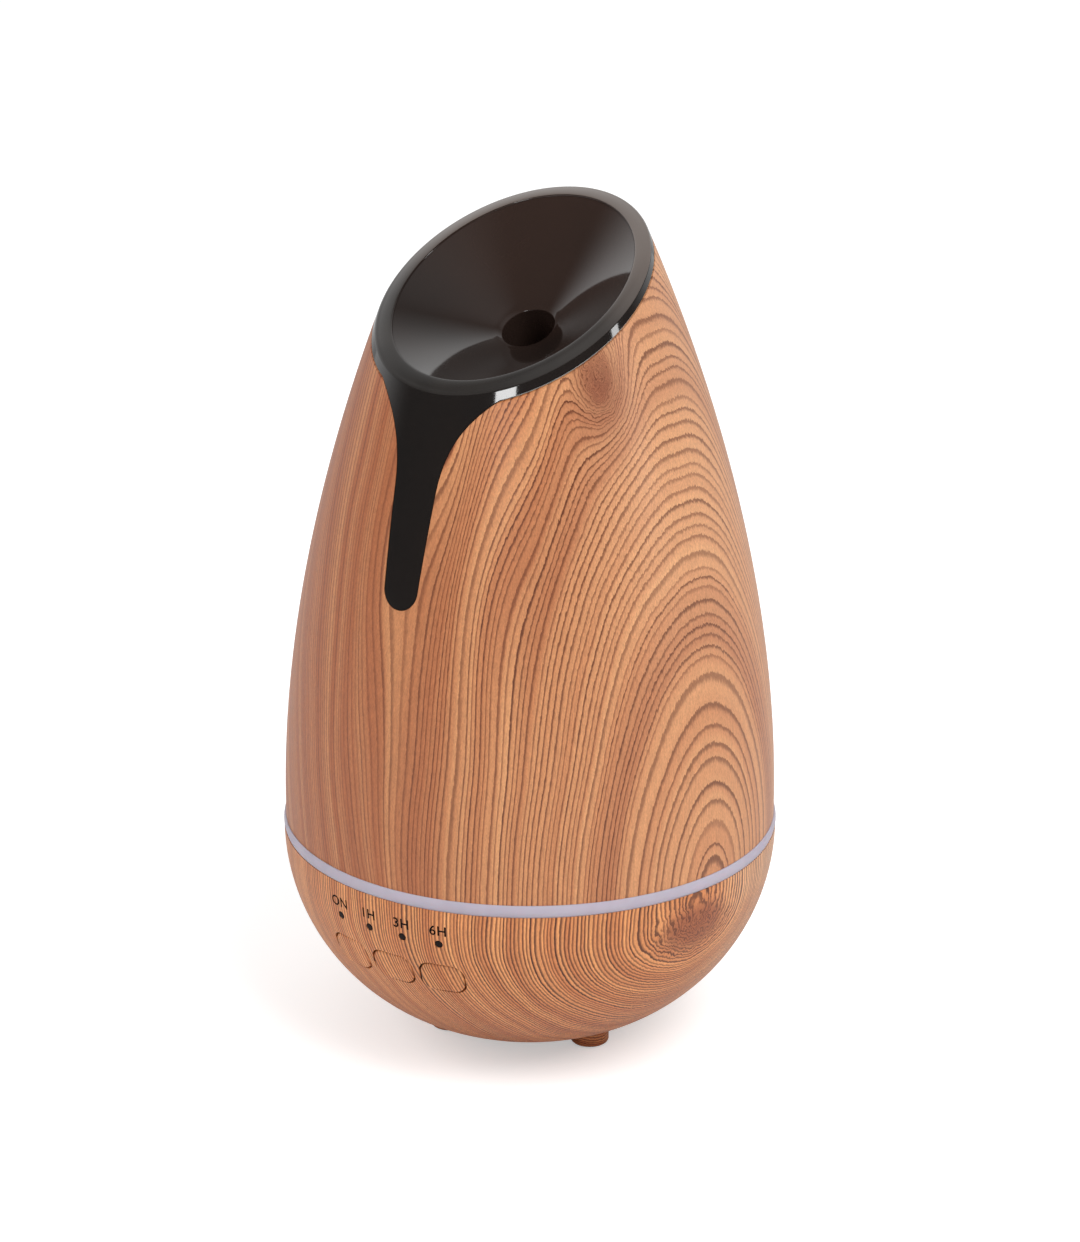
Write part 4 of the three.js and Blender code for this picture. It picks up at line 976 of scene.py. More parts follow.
@dataclass(frozen=True)
class WoodPrint:
    """The printed grain: nested arches on the cover, and rings round a knot on the bowl.

    Angles are in degrees from the front towards +X, and heights in millimetres.

    Args:
        figure: Which of the two figures.
        belt_height: The height of the belt that both start from.
        light: The early wood's tone.
        warm: The tone of some years, and of each ring towards its edge.
        ruddy: The redder streaks' tone.
        line: The tone of the rings' dark edges.
        knot: The tone of a knot's middle.
        painted_sheen: The light tone of a painted sheen, on the right side where the light falls.
        seam: The angle at the back where the print's two ends meet.
        arch_angle: The angle of the line that the arches stand on.
        arch_rise: How fast the arches climb at the belt.
        arch_growth: How much faster they climb with each millimetre.
        arch_heart: How far under the belt the innermost arch begins.
        arch_rings: How many arches there are for each degree.
        arch_closer: From where they come closer, as _ring_count takes it.
        upper_knot: The angle and the height of the knot in the cover.
        knot_angle: The angle of the knot in the bowl.
        knot_height: Its height.
        knot_root: The height that the bowl's rings lie round.
        knot_rings: How many of them there are for each degree.
        knot_closer: From where they come closer, as _ring_count takes it.
        line_from: Where in a ring its dark edge starts and is full, as shares of the ring.
        faintest: The strength of the faintest edge.
        fraying: How far the arches' tips fray up and down.
        raggedness: How far a ring's edge strays, as a share of the ring.
    """

    figure: Figure
    belt_height: float
    light: str = "#cc9061"
    warm: str = "#b16d43"
    ruddy: str = "#98502c"
    line: str = "#52200c"
    knot: str = "#6f2f1e"
    painted_sheen: str = "#e8bb92"
    seam: float = 180.0
    arch_angle: float = 81.0
    arch_rise: float = 1.95
    arch_growth: float = 0.0068
    arch_heart: float = 4.0
    arch_rings: float = 0.42
    arch_closer: tuple[tuple[float, float], ...] = ((29.0, 0.41), (72.0, 0.3))
    upper_knot: tuple[float, float] = (59.5, 190.0)
    knot_angle: float = 76.0
    knot_height: float = 48.5
    knot_root: float = 50.5
    knot_rings: float = 1.05
    knot_closer: tuple[tuple[float, float], ...] = ((45.0, 0.15),)
    line_from: tuple[float, float] = (0.56, 0.86)
    faintest: float = 0.5
    fraying: float = 1.8
    raggedness: float = 0.27

    def material(self) -> bpy.types.Material:
        """The finish as a material.

        Returns:
            The material.
        """
        g = Surface(f"wood_print_{self.figure.value}")
        x, y, z = g.place
        jag = (g.speckle(2.0, 2.0, 0.2, detail=2.0, roughness=0.6) - 0.5) * self.fraying
        draw = self._arches if self.figure is Figure.ARCHES else self._round_knot
        grain = draw(g, x, y, z, jag)
        ragged = g.speckle(1.6, 1.6, 0.45, shift=2.0, detail=3.0, roughness=0.65) - 0.5
        rings = grain.rings + ragged * self.raggedness
        turn = g.math("FRACT", rings)
        strength = g.chance(g.math("FLOOR", rings)) * (1.0 - self.faintest) + self.faintest
        late = g.rise(turn, *self.line_from) * g.rise(turn, 1.0, 0.95)
        soft = g.rise(turn, 0.0, 0.9)
        fibre = g.speckle(2.4, 2.4, 0.08, detail=4.0, roughness=0.7)
        pores = g.speckle(4.0, 4.0, 1.2, detail=2.0, roughness=0.7)
        years = g.wander(grain.reach, 0.21, detail=2.0)
        tone = g.mix(g.rise(years, 0.32, 0.68) * 0.55 + soft * 0.3, self.light, self.warm)
        tone = g.mix(grain.ruddy, tone, self.ruddy)
        # Painted sheen: a lighter tone laid over the right side, more so higher up, where the light
        # falls.
        tone = g.mix(grain.painted_sheen, tone, self.painted_sheen)
        tone = g.mix(grain.knot, tone, self.knot)
        tone = g.mix(late * strength * grain.contrast, tone, self.line)
        tone = g.dimmed(tone, (fibre - 0.5) * 0.7 + (pores - 0.5) * 0.8 + 1.0)
        g.set(
            Base_Color=tone,
            Roughness=g.rise(fibre, 0.2, 0.8) * 0.1 + 0.42,
            Specular_IOR_Level=0.4,
            Coat_Weight=0.15,
            Coat_Roughness=0.3,
            Normal=g.bump(late * strength * -0.5 + fibre * 0.5, 0.04),
        )
        return g.material

    def _turned_from(self, g: Surface, x: Term, y: Term, angle: float) -> Term:
        """The angle in degrees from a direction on the housing, which is given from the front."""
        s, c = math.sin(math.radians(angle)), math.cos(math.radians(angle))
        return g.math("ARCTAN2", x * c + y * s, x * s - y * c) * (180 / math.pi)

    def _lump(self, g: Surface, away: Term, height: Term, wide: float, tall: float) -> Term:
        """A round swelling of 1 at its middle that fades out over a width and a height."""
        across, up = away / wide, height / tall
        return g.math("EXPONENT", (across * across + up * up) * -1.0)

    def _ring_count(
        self, g: Surface, reach: Term, each: float, closer: Sequence[tuple[float, float]]
    ) -> Term:
        """How many rings lie inside a distance from the heart, with years of uneven growth.

        Args:
            g: The material's graph.
            reach: The distance, in degrees.
            each: How many rings there are for each degree.
            closer: Pairs of a distance and how many more rings a degree has from there on.

        Returns:
            The number, of which each whole value begins a ring.
        """
        rings = reach * each
        for start, more in closer:
            rings = rings + g.math("MAXIMUM", reach - start, 0.0) * more
        return rings + g.wander(reach, 0.2) * 1.6

    def _arches(self, g: Surface, x: Term, y: Term, z: Term, jag: Term) -> Grain:
        """The cover's figure: arches nested round a line at the right, fading into straight grain.

        Args:
            g: The material's graph.
            x: The point's place across.
            y: Its place towards the back.
            z: Its height.
            jag: Noise that frays the arches.

        Returns:
            The figure's values.
        """
        height = g.math("MAXIMUM", z - self.belt_height + jag, 0.0) + self.arch_heart
        front = self._turned_from(g, x, y, 0.0)
        away = self._turned_from(g, x, y, self.arch_angle)
        lean = g.rise(front, 16, -16) * 0.2 + g.rise(front, -16, -50) * 0.1
        lean = height * lean * g.rise(front, -self.seam, -110)
        left = (away + lean) * -1.0
        right = away - g.rise(height, 70, 150) * 12.0
        side = g.math("MAXIMUM", g.math("MAXIMUM", left, right), 0.0)
        lower = g.rise(z, 145, 90) * g.rise(side, 95, 55)
        side = side + g.math("MINIMUM", side, 55.0) * lower * 0.1
        root = g.math("SQRT", height * (4 * self.arch_growth) + self.arch_rise**2)
        climb = (root - self.arch_rise) / (2 * self.arch_growth)
        climb = climb * (1.0 - g.rise(side, 42, 66) * 0.16)
        reach = g.math("SQRT", side * side + climb * climb)
        knot_away, knot_up = front - self.upper_knot[0], z - self.upper_knot[1]
        beside = g.math("MAXIMUM", knot_away, knot_away * -1.5)
        swirl = g.speckle(0.3, 0.3, 0.2, shift=5.0, detail=3.0, roughness=0.6) - 0.5
        core = self._lump(g, knot_away, knot_up, 7.0, 8.0) * (swirl * 1.6 + 1.0)
        waver = g.speckle(0.03, 0.03, 0.012, detail=2.0) - 0.5
        reach = reach + waver * 2.2 + self._lump(g, beside, knot_up, 12.0, 16.0) * 7.0 + core * 9.0
        rings = self._ring_count(g, reach, self.arch_rings, self.arch_closer)
        streaks = g.wander(reach + waver * 4.0, 0.28, detail=3.0)
        dark_years = g.rise(reach, 28, 31) * g.rise(reach, 38, 33) * 0.45
        old = g.rise(reach, 50, 56) * g.rise(reach, 68, 62) * g.rise(z, 100, 150) * 0.4
        # Redder and darker on the left: partly the print's redder bands, partly painted shade on
        # the side away from the key light.
        left_side = g.rise(front, 24, 4) * g.rise(front, -self.seam, -130)
        ruddy = g.rise(streaks, 0.3, 0.62) * (left_side * 0.3 + 0.2) + left_side * 0.3
        strong = g.rise(reach, 60.5, 62) * g.rise(reach, 66, 64)
        contrast = g.rise(front, -2, 18) * 0.35 + 0.6 + strong * 0.3
        contrast = contrast - g.rise(front, 48, 66) * 0.17
        # Painted sheen: the cover's right side is lighter, and more so higher up, as if lit.
        right_side = g.rise(front, 30, 75) * g.rise(front, self.seam, 140)
        return Grain(
            rings=rings,
            reach=reach,
            ruddy=g.math("MINIMUM", ruddy + dark_years + old, 1.0),
            knot=self._lump(g, knot_away, knot_up + 1.5, 9.5, 10.5) * 0.75,
            painted_sheen=right_side * (g.rise(z, 95, 165) * 0.17 + 0.11),
            contrast=g.math("MINIMUM", contrast, 1.0),
        )

    def _round_knot(self, g: Surface, x: Term, y: Term, z: Term, jag: Term) -> Grain:
        """The bowl's figure: close rings round a knot at the right, straight towards the front.

        Args:
            g: The material's graph.
            x: The point's place across.
            y: Its place towards the back.
            z: Its height.
            jag: Noise that frays the rings.

        Returns:
            The figure's values.
        """
        front = self._turned_from(g, x, y, 0.0)
        away = self._turned_from(g, x, y, self.knot_angle)
        below = self.knot_root - z + jag * 0.4
        below = g.math("MAXIMUM", below, 0.0) * 1.3 + g.math("MINIMUM", below, 0.0) * 0.5
        waver = g.speckle(0.05, 0.05, 0.03, shift=3.0, detail=2.0) - 0.5
        swirl = g.speckle(0.3, 0.3, 0.2, shift=6.0, detail=3.0, roughness=0.6) - 0.5
        knot = self._lump(g, away, z - self.knot_height, 11.0, 7.5)
        reach = g.math("SQRT", away * away + below * below)
        reach = reach + waver * 2.5 + knot * (swirl + 0.5) * 8.0
        rings = self._ring_count(g, reach, self.knot_rings, self.knot_closer)
        streaks = g.wander(reach + waver * 4.0, 0.3, detail=3.0)
        # Redder and darker towards the bottom.
        low = g.rise(z, 36, 10)
        ruddy = g.rise(streaks, 0.35, 0.65) * 0.4 + low * 0.3 + 0.12
        # Painted sheen: the bowl's right side is lighter, and more so towards the belt, as if lit.
        right_side = g.rise(front, 78, 95) * g.rise(front, self.seam, 140)
        return Grain(
            rings=rings,
            reach=reach,
            ruddy=g.math("MINIMUM", ruddy, 1.0),
            knot=g.rise(knot, 0.15, 0.75) * 0.7,
            painted_sheen=right_side * (g.rise(z, 44, 54) * 0.3 + 0.2),
            contrast=g.rise(front, 6, 32) * 0.15 + 0.85 - knot * 0.35,
        )


@dataclass(frozen=True)
class SmokedPlastic:
    """Glossy smoked plastic, whose colour has a painted glow that stands in for light coming
    through a bare wall.

    Args:
        name: The material's name.
        shade: Its own tone.
        glow: The painted tone of light that comes through, mixed into the base colour.
        share: How much of the painted glow shows at the front.
        painted_back_glow: How much more of the painted glow shows towards the back.
        far: Where along Y the back's painted glow starts and is full.
    """

    name: str = "smoked_plastic"
    shade: str = "#131414"
    glow: str = "#3a2922"
    share: float = 0.0
    painted_back_glow: float = 0.0
    far: tuple[float, float] = (-22.0, 12.0)

    def material(self) -> bpy.types.Material:
        """The finish as a material.

        Returns:
            The material.
        """
        g = Surface(self.name)
        far = g.rise(g.place[1], *self.far)
        cloud = g.speckle(0.05, 0.05, 0.05, detail=2.0)
        dust = g.speckle(3.0, 3.0, 3.0, detail=3.0, roughness=0.7)
        # Painted glow: the share of the glow tone in the base colour, which stands in for light
        # coming through. The cloud varies it at random, and it grows towards the back.
        painted_glow_share = cloud * 0.25 + far * self.painted_back_glow + self.share
        g.set(
            Base_Color=g.mix(painted_glow_share, self.shade, self.glow),
            Roughness=g.rise(dust, 0.55, 0.8) * 0.12 + 0.07,
            IOR=1.49,
            Coat_Weight=0.3,
            Coat_Roughness=0.04,
            Normal=g.bump(g.speckle(0.09, 0.09, 0.09, detail=1.0), 0.02),
        )
        return g.material


@dataclass(frozen=True)
class MouldedPlastic:
    """Moulded plastic with a fine sparked grain and faint flow marks.

    Args:
        name: The material's name.
        shade: Its tone.
        deeper: The tone of the flow marks.
        roughness: The middle of its roughness.
        cloudiness: How much light scatters inside it.
        shine: The strength of its reflection.
    """

    name: str
    shade: str
    deeper: str
    roughness: float = 0.4
    cloudiness: float = 0.0
    shine: float = 0.5

    def material(self) -> bpy.types.Material:
        """The finish as a material.

        Returns:
            The material.
        """
        g = Surface(self.name)
        flow = g.speckle(0.08, 0.08, 0.03, detail=3.0, roughness=0.6)
        grain = g.speckle(6.0, 6.0, 6.0, detail=2.0)
        g.set(
            Base_Color=g.mix(g.rise(flow, 0.3, 0.75), self.shade, self.deeper),
            Roughness=grain * 0.14 + (self.roughness - 0.07),
            Subsurface_Weight=self.cloudiness,
            Subsurface_Scale=0.004,
            Specular_IOR_Level=self.shine,
            Normal=g.bump(grain, 0.02),
        )
        return g.material


@dataclass(frozen=True)
class CircuitBoard:
    """Green solder mask over a weave, raised and lighter over the copper tracks."""

    name: str = "circuit_board"
    mask: str = "#1f5b38"
    track: str = "#2f7a4c"

    def material(self) -> bpy.types.Material:
        """The finish as a material.

        Returns:
            The material.
        """
        g = Surface(self.name)
        weave = g.speckle(1.4, 1.4, 1.4, detail=2.0)
        cells = g.node("ShaderNodeTexVoronoi", feature="DISTANCE_TO_EDGE", distance="MANHATTAN")
        g.feed(cells.inputs["Vector"], g.stretched(0.35, 0.35, 0.35))
        tracks = g.rise(Term(g, cells.outputs["Distance"]), 0.09, 0.05)
        g.set(
            Base_Color=g.mix(tracks * 0.8 + weave * 0.1, self.mask, self.track),
            Roughness=weave * 0.2 + 0.3,
            Normal=g.bump(tracks + weave * 0.1, 0.04),
        )
        return g.material


@dataclass(frozen=True)
class Metal:
    """Plain metal with turning or rolling marks and dulled patches."""

    name: str
    shade: str
    dull: str
    roughness: float = 0.28

    def material(self) -> bpy.types.Material:
        """The finish as a material.

        Returns:
            The material.
        """
        g = Surface(self.name)
        marks = g.speckle(1.0, 1.0, 9.0, detail=3.0, roughness=0.6)
        patches = g.speckle(0.3, 0.3, 0.3, detail=3.0)
        g.set(
            Base_Color=g.mix(g.rise(patches, 0.35, 0.7), self.shade, self.dull),
            Metallic=1.0,
            Roughness=marks * 0.2 + (self.roughness - 0.1),
            Normal=g.bump(marks, 0.015),
        )
        return g.material


@dataclass(frozen=True)
class Ink:
    """Dark print, a little worn so that the wood shows through its edges."""

    name: str = "ink"
    shade: str = "#0e0807"
    worn: str = "#21130e"

    def material(self) -> bpy.types.Material:
        """The finish as a material.

        Returns:
            The material.
        """
        g = Surface(self.name)
        wear = g.speckle(2.5, 2.5, 2.5, detail=3.0, roughness=0.7)
        g.set(
            Base_Color=g.mix(g.rise(wear, 0.5, 0.8), self.shade, self.worn),
            Roughness=wear * 0.2 + 0.6,
            Specular_IOR_Level=0.1,
        )
        return g.material


def dress(piece: bpy.types.Object, *finishes: bpy.types.Material) -> None:
    """Gives a piece its finishes, of which the first shows all over.

    Args:
        piece: The object.
        finishes: The finishes, in the order that its faces count them.
    """
    piece.data.materials.clear()
    for finish in finishes:
        piece.data.materials.append(finish)


@dataclass
class FinishRack:
    """Every finish of the object, each made once, by the slot or piece it belongs to."""

    belt_height: float
    _made: dict[str, bpy.types.Material] = field(default_factory=dict)

    def take(self, name: str) -> bpy.types.Material:
        """The finish of that name, made when it is first asked for.

        Args:
            name: The finish's name.

        Returns:
            The material.
        """
        if name not in self._made:
            self._made[name] = self._makers()[name]()
        return self._made[name]

    def _makers(self) -> dict[str, Callable[[], bpy.types.Material]]:
        """What makes each finish.

        Returns:
            A function that makes it, by the finish's name.
        """
        return {
            "cover_wood": WoodPrint(Figure.ARCHES, self.belt_height).material,
            "bowl_wood": WoodPrint(
                Figure.KNOT,
                self.belt_height,
                light="#eba468",
                warm="#cc7b48",
                ruddy="#ad5c30",
                line="#3f1504",
                knot="#7f3a22",
                line_from=(0.35, 0.75),
                faintest=0.6,
            ).material,
            "smoked_plastic": SmokedPlastic().material,
            # The next two finishes carry a painted glow, stronger towards the back, that stands in
            # for light coming through the smoked plastic. The rim top's glow is paler.
            "funnel_smoke_painted_glow": SmokedPlastic("funnel_smoke_painted_glow", share=0.1, painted_back_glow=0.35).material,
            "rim_smoke_painted_glow": SmokedPlastic("rim_smoke_painted_glow", glow="#665d58", painted_back_glow=0.8).material,
            "frosted_plastic": MouldedPlastic(
                "frosted_plastic", "#b0a8b5", "#a8a0ad", 0.6, 0.2
            ).material,
            "tank_white": MouldedPlastic("tank_white", "#e4e2dc", "#dbd8d1", 0.36, 0.3).material,
            "silicone": MouldedPlastic("silicone", "#c9c7c2", "#b9b6b0", 0.7, 0.2).material,
            "foot_rubber": MouldedPlastic("foot_rubber", "#2a2927", "#1f1e1d", 0.8).material,
            "board_green": CircuitBoard().material,
            "black_plastic": MouldedPlastic("black_plastic", "#1b1b1c", "#141415", 0.42).material,
            "steel": Metal("steel", "#b4b6b8", "#8f9194").material,
            "aluminium": Metal("aluminium", "#c3c5c7", "#a7aaad", 0.34).material,
            "copper": Metal("copper", "#b5703c", "#8f5229", 0.36).material,
            "ceramic": MouldedPlastic("ceramic", "#d9d3c2", "#cfc7b2", 0.38).material,
            "led_resin": MouldedPlastic("led_resin", "#efe9cf", "#e2d79c", 0.3, 0.3).material,
            "ink": Ink().material,
            "light_pipe": MouldedPlastic(
                "light_pipe", "#1d1210", "#120b0a", 0.5, shine=0.12
            ).material,
        }


# ---- the housing's shared form ------------------------------------------------------------------


@dataclass
class Housing:
    """The outlines that the shells share, from the belt and the housing's own sizes."""

    belt: Belt
    cover_inset: float = 0.6
    cover_wall: float = 2.6
    cover_peak: float = 172.0
    rim_tilt: float = math.radians(28.2)
    rim_drop: float = 22.9
    cover_fullness: tuple[float, float] = (0.419, 0.807)
    cover_shoulder: float = 0.6
    cover_top: float = 0.36
    bowl_inset: float = 0.1
    bowl_wall: float = 2.4
    bowl_fullness: tuple[float, float] = (0.46, 0.915)
    bowl_shoulder: float = 0.715
    floor_z: float = 3.2
    floor_radius: float = 17.0

    @cached_property
    def cover(self) -> Outline:
        """The egg above the belt.

        Returns:
            The outline, from the belt to above the rim.
        """
        r, z, peak = self.belt.radius, self.belt.middle, self.cover_peak
        low, high = self.cover_fullness
        return Outline(
            [
                (r - self.cover_inset, self.belt.top),
                (r + 0.2, z + low * peak),
                (self.cover_shoulder * r, z + high * peak),
                (self.cover_top * r, z + peak),
            ],
            upward=True,
        )

    @cached_property
    def bowl(self) -> Outline:
        """The bowl below the belt.

        Returns:
            The outline, from the belt to the floor.
        """
        r, z = self.belt.radius - self.bowl_inset, self.belt.bottom
        depth = z - self.floor_z
        high, low = self.bowl_fullness
        return Outline(
            [
                (r, z),
                (r, z - high * depth),
                (self.bowl_shoulder * self.belt.radius, z - low * depth),
                (self.floor_radius, self.floor_z),
            ],
            upward=False,
        )

    @cached_property
    def slant(self) -> Slant:
        """The plane of the funnel's rim."""
        return Slant(self.cover, self.rim_tilt, self.belt.middle + self.cover_peak - self.rim_drop)

    def _mouth_z(self, outline: Outline) -> float:
        """The height of a shell's open end, at the belt."""
        return self.belt.top if outline.upward else self.belt.bottom

    def filled(self, outline: Outline, inset: float, steps: int = 96) -> bpy.types.Object:
        """A shell's whole form moved in by a distance, as a solid closed at its two ends.

        Args:
            outline: The shell's outline.
            inset: How far in it is moved.
            steps: How many steps follow it.

        Returns:
            The new object.
        """
        wall = outline.steps(steps, inset)
        wall[0 if outline.upward else -1, 1] = self._mouth_z(outline)
        profile = np.vstack([[0, wall[0, 1]], wall, [0, wall[-1, 1]]])
        return turned("filled", profile, SHELL_FLATS)

    def between(self, outline: Outline, outer: float, inner: float) -> bpy.types.Object:
        """The layer of a shell between two distances from its surface, open at the belt.

        Args:
            outline: The shell's outline.
            outer: The smaller distance in.
            inner: The larger.

        Returns:
            The new object.
        """
        layer = self.filled(outline, outer)
        hollow = self.filled(outline, inner)
        z = self._mouth_z(outline)
        mouth = column(outline.radius(z, inner), z - PAST, z + PAST, segments=SHELL_FLATS)
        return combine(layer, combine(hollow, mouth, Operation.JOIN), Operation.CUT)


# ---- cover --------------------------------------------------------------------------------------


class Smoke(Enum):
    """The funnel's areas, by the place of their finish on the funnel."""

    BODY = 0
    CONE = 1
    RIM_TOP = 2

    @property
    def finish(self) -> str:
        """The name of the area's finish."""
        return ("smoked_plastic", "funnel_smoke_painted_glow", "rim_smoke_painted_glow")[self.value]


@dataclass
class Cover:
    """The wood-print shell, the smoked funnel with its tongue, and the seal between them.

    Sizes are in millimetres, and depths are measured under the rim's plane.
    """

    housing: Housing
    finishes: FinishRack
    rim_width: float = 4.2
    rim_thickness: float = 2.4
    gasket: float = 0.5
    rim_fillet: float = 0.5
    rim_fall: float = 0.5
    funnel_depth: float = 14.3
    funnel_wall: float = 1.8
    hole_radius: float = 6.9
    hole_fillet: float = 0.3
    throat_length: float = 12.5
    mouth_round: float = 0.5
    rim_foot: float = 1.7
    skirt_depth: float = 5.0
    skirt_wall: float = 1.4
    fit: float = 0.3
    tongue_length: float = 53.15
    tongue_flare_length: float = 23.65
    tongue_tip: float = 4.95
    tongue_neck: float = 6.1
    tongue_flare: float = 19.0
    tongue_thickness: float = 1.3
    tongue_neck_pull: tuple[float, float] = (0.5, 9.0)
    tongue_flare_pull: tuple[float, float] = (3.5, 7.0)
    tongue_lap: float = 0.2
    tongue_top: float = 1.5
    pocket_margin: float = 0.15
    gasket_inset: float = 0.5
    gasket_press: float = 0.05
    cone_margin: float = 0.2
    cone_bottom: float = 30.0
    rim_top: float = 0.7
    flats: int = 160
    rim_steps: int = 7
    cone_steps: int = 22

    def build(self) -> list[bpy.types.Object]:
        """Makes and dresses the cover's pieces.

        Returns:
            The three pieces.
        """
        shell = self._shell()
        funnel = self._funnel()
        gasket = self._gasket()
        for piece, node, slot in (
            (shell, "cover_shell", "wood_print"),
            (funnel, "mist_funnel", "smoked_plastic"),
            (gasket, "funnel_gasket", "silicone"),
        ):
            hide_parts(node)
            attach(piece, COVER_BODY)
        return [shell, funnel, gasket]

    def _above(self, depth: float) -> bpy.types.Object:
        """Everything above a depth under the rim's plane, as a tool that trims it off."""
        return block((-FAR, -FAR, -depth), (FAR, FAR, FAR), self.housing.slant.matrix())

    def _tongue_prism(self, margin: float) -> bpy.types.Object:
        """The tongue's outline seen from the front, grown by a margin and run through the wall.

        Args:
            margin: How far the outline is grown.

        Returns:
            The new object.
        """
        top = self.housing.slant.ends[0].z
        halves = (self.tongue_tip, self.tongue_neck, self.tongue_flare)
        tip, neck, flare = (half + margin for half in halves)
        arc_z = top - self.tongue_length + self.tongue_tip
        neck_z = top - self.tongue_flare_length
        flare_z = top - margin + self.tongue_lap
        a = np.linspace(-QUARTER_TURN, 0, 16)
        arc = np.column_stack([tip * np.cos(a), arc_z + tip * np.sin(a)])
        neck_out, neck_up = self.tongue_neck_pull
        flare_out, flare_down = self.tongue_flare_pull
        pulls = [(neck + neck_out, neck_z + neck_up), (neck + flare_out, flare_z - flare_down)]
        curve, _ = bezier([(neck, neck_z), *pulls, (flare, flare_z)], 28)
        right = np.vstack([arc, curve, [flare, top + 3 * self.rim_thickness]])
        left = right[:0:-1] * (-1, 1)
        turn = Matrix.Rotation(QUARTER_TURN, 4, "X")
        return prism(np.vstack([right, left]), 0, 1.5 * self.housing.belt.radius, turn)

    def _pocket(self) -> bpy.types.Object:
        """The room that the tongue takes in the cover's wall, as a tool that clears it.

        Returns:
            The tool.
        """
        h = self.housing
        return combine(
            self._tongue_prism(self.pocket_margin),
            h.between(h.cover, -1, self.tongue_thickness + self.pocket_margin),
            Operation.KEEP_COMMON,
        )

    def _shell(self) -> bpy.types.Object:
        """The egg's wall, trimmed by the rim's plane, with a pocket for the tongue.

        Returns:
            The dressed piece.
        """
        h = self.housing
        shell = h.between(h.cover, 0, h.cover_wall)
        combine(shell, self._above(self.rim_thickness + self.gasket), Operation.CUT)
        combine(shell, self._pocket(), Operation.CUT)
        shell.name = "wood_cover"
        settle(shell, [(h.cover, 0), (h.cover, h.cover_wall)])
        dress(shell, self.finishes.take("cover_wood"))
        return shell

    def _funnel(self) -> bpy.types.Object:
        """Rim, cone, throat and skirt as one ring, joined to the tongue.

        Returns:
            The dressed piece.
        """
        h, slant = self.housing, self.housing.slant
        angles = self._angles()
        mouth_x, mouth_y = (half - self.rim_width for half in (slant.half_width, slant.half_length))
        rings = self._rim_rings(angles, mouth_x, mouth_y)
        rings += self._cone_rings(angles, mouth_x, mouth_y)
        rings.append(slant.ellipse(angles, mouth_x, mouth_y, self.rim_thickness - 0.1))
        skirt_out = h.cover_wall + self.fit
        skirt_in = skirt_out + self.skirt_wall
        deep = self.rim_thickness + self.skirt_depth
        for depth, inset in (
            (self.rim_thickness, skirt_in),
            (deep, skirt_in),
            (deep, skirt_out),
            (self.rim_thickness, skirt_out),
        ):
            rings.append(slant.on_egg(angles, depth, inset))
        funnel = ring_solid("smoked_funnel", rings, looped=True)
        layer = h.between(h.cover, 0, self.tongue_thickness)
        tongue = combine(self._tongue_prism(0), layer, Operation.KEEP_COMMON)
        combine(tongue, self._above(self.tongue_top), Operation.CUT)
        combine(funnel, tongue, Operation.JOIN)
        funnel.name = "smoked_funnel"
        settle(funnel, [(h.cover, 0)])
        dress(funnel, *(self.finishes.take(part.finish) for part in Smoke))
        self._mark_cone(funnel)
        return funnel

    def _angles(self) -> np.ndarray:
        """The directions of a ring's points round the slanted frame's axis, in radians."""
        return np.linspace(0, FULL_TURN, self.flats, endpoint=False)

    def _rim_rings(self, angles: np.ndarray, mouth_x: float, mouth_y: float) -> list[np.ndarray]:
        """The rings from the rim's underside up its side and over its top to the mouth.

        Args:
            angles: The directions of each ring's points.
            mouth_x: Half the cone's width at its mouth.
            mouth_y: Half its length there.

        Returns:
            The rings, in order.
        """
        slant = self.housing.slant
        quarter = np.linspace(0, QUARTER_TURN, self.rim_steps)
        rings = [slant.on_egg(angles, depth, 0) for depth in (self.rim_thickness, self.rim_foot)]
        for a in quarter:
            inset, depth = (self.rim_fillet * (1 - f(a)) for f in (math.cos, math.sin))
            rings.append(slant.on_egg(angles, self.rim_fall + depth, inset))
        edge, soft = rings[-1], self.mouth_round
        inner = slant.ellipse(angles, mouth_x + soft, mouth_y + soft, 0)
        for share in np.linspace(0, 1, self.rim_steps)[1:]:
            swell = self.rim_fall * share * (1 - share) * slant.axes[2]
            rings.append((1 - share) * edge + share * inner + swell)
        for a in quarter[1:]:
            grow, depth = (soft * (1 - f(a)) for f in (math.sin, math.cos))
            rings.append(slant.ellipse(angles, mouth_x + grow, mouth_y + grow, depth))
        return rings

    def _cone_rings(self, angles: np.ndarray, mouth_x: float, mouth_y: float) -> list[np.ndarray]:
        """The rings from the mouth down the cone, through the hole and back up underneath.

        Args:
            angles: The directions of each ring's points.
            mouth_x: Half the cone's width at its mouth.
            mouth_y: Half its length there.

        Returns:
            The rings, in order.
        """
        slant, hole = self.housing.slant, self.hole_radius
        end = self.funnel_depth + self.throat_length
        top, rings = self.mouth_round, []
        for share in np.linspace(0, 1, self.cone_steps)[1:-1]:
            depth = top + share * (self.funnel_depth - top)
            half_x, half_y = (m + share * (hole - m) for m in (mouth_x, mouth_y))
            rings.append(slant.ellipse(angles, half_x, half_y, depth))
        for a in np.linspace(0.2, QUARTER_TURN, self.rim_steps):
            grow, deeper = (self.hole_fillet * (1 - f(a)) for f in (math.sin, math.cos))
            rings.append(slant.ring(angles, hole + grow, self.funnel_depth + deeper))
        outside, under = hole + self.funnel_wall, self.funnel_depth + self.funnel_wall
        for reach, depth in ((hole, end), (outside, end), (outside, under)):
            rings.append(slant.ring(angles, reach, depth))
        return rings

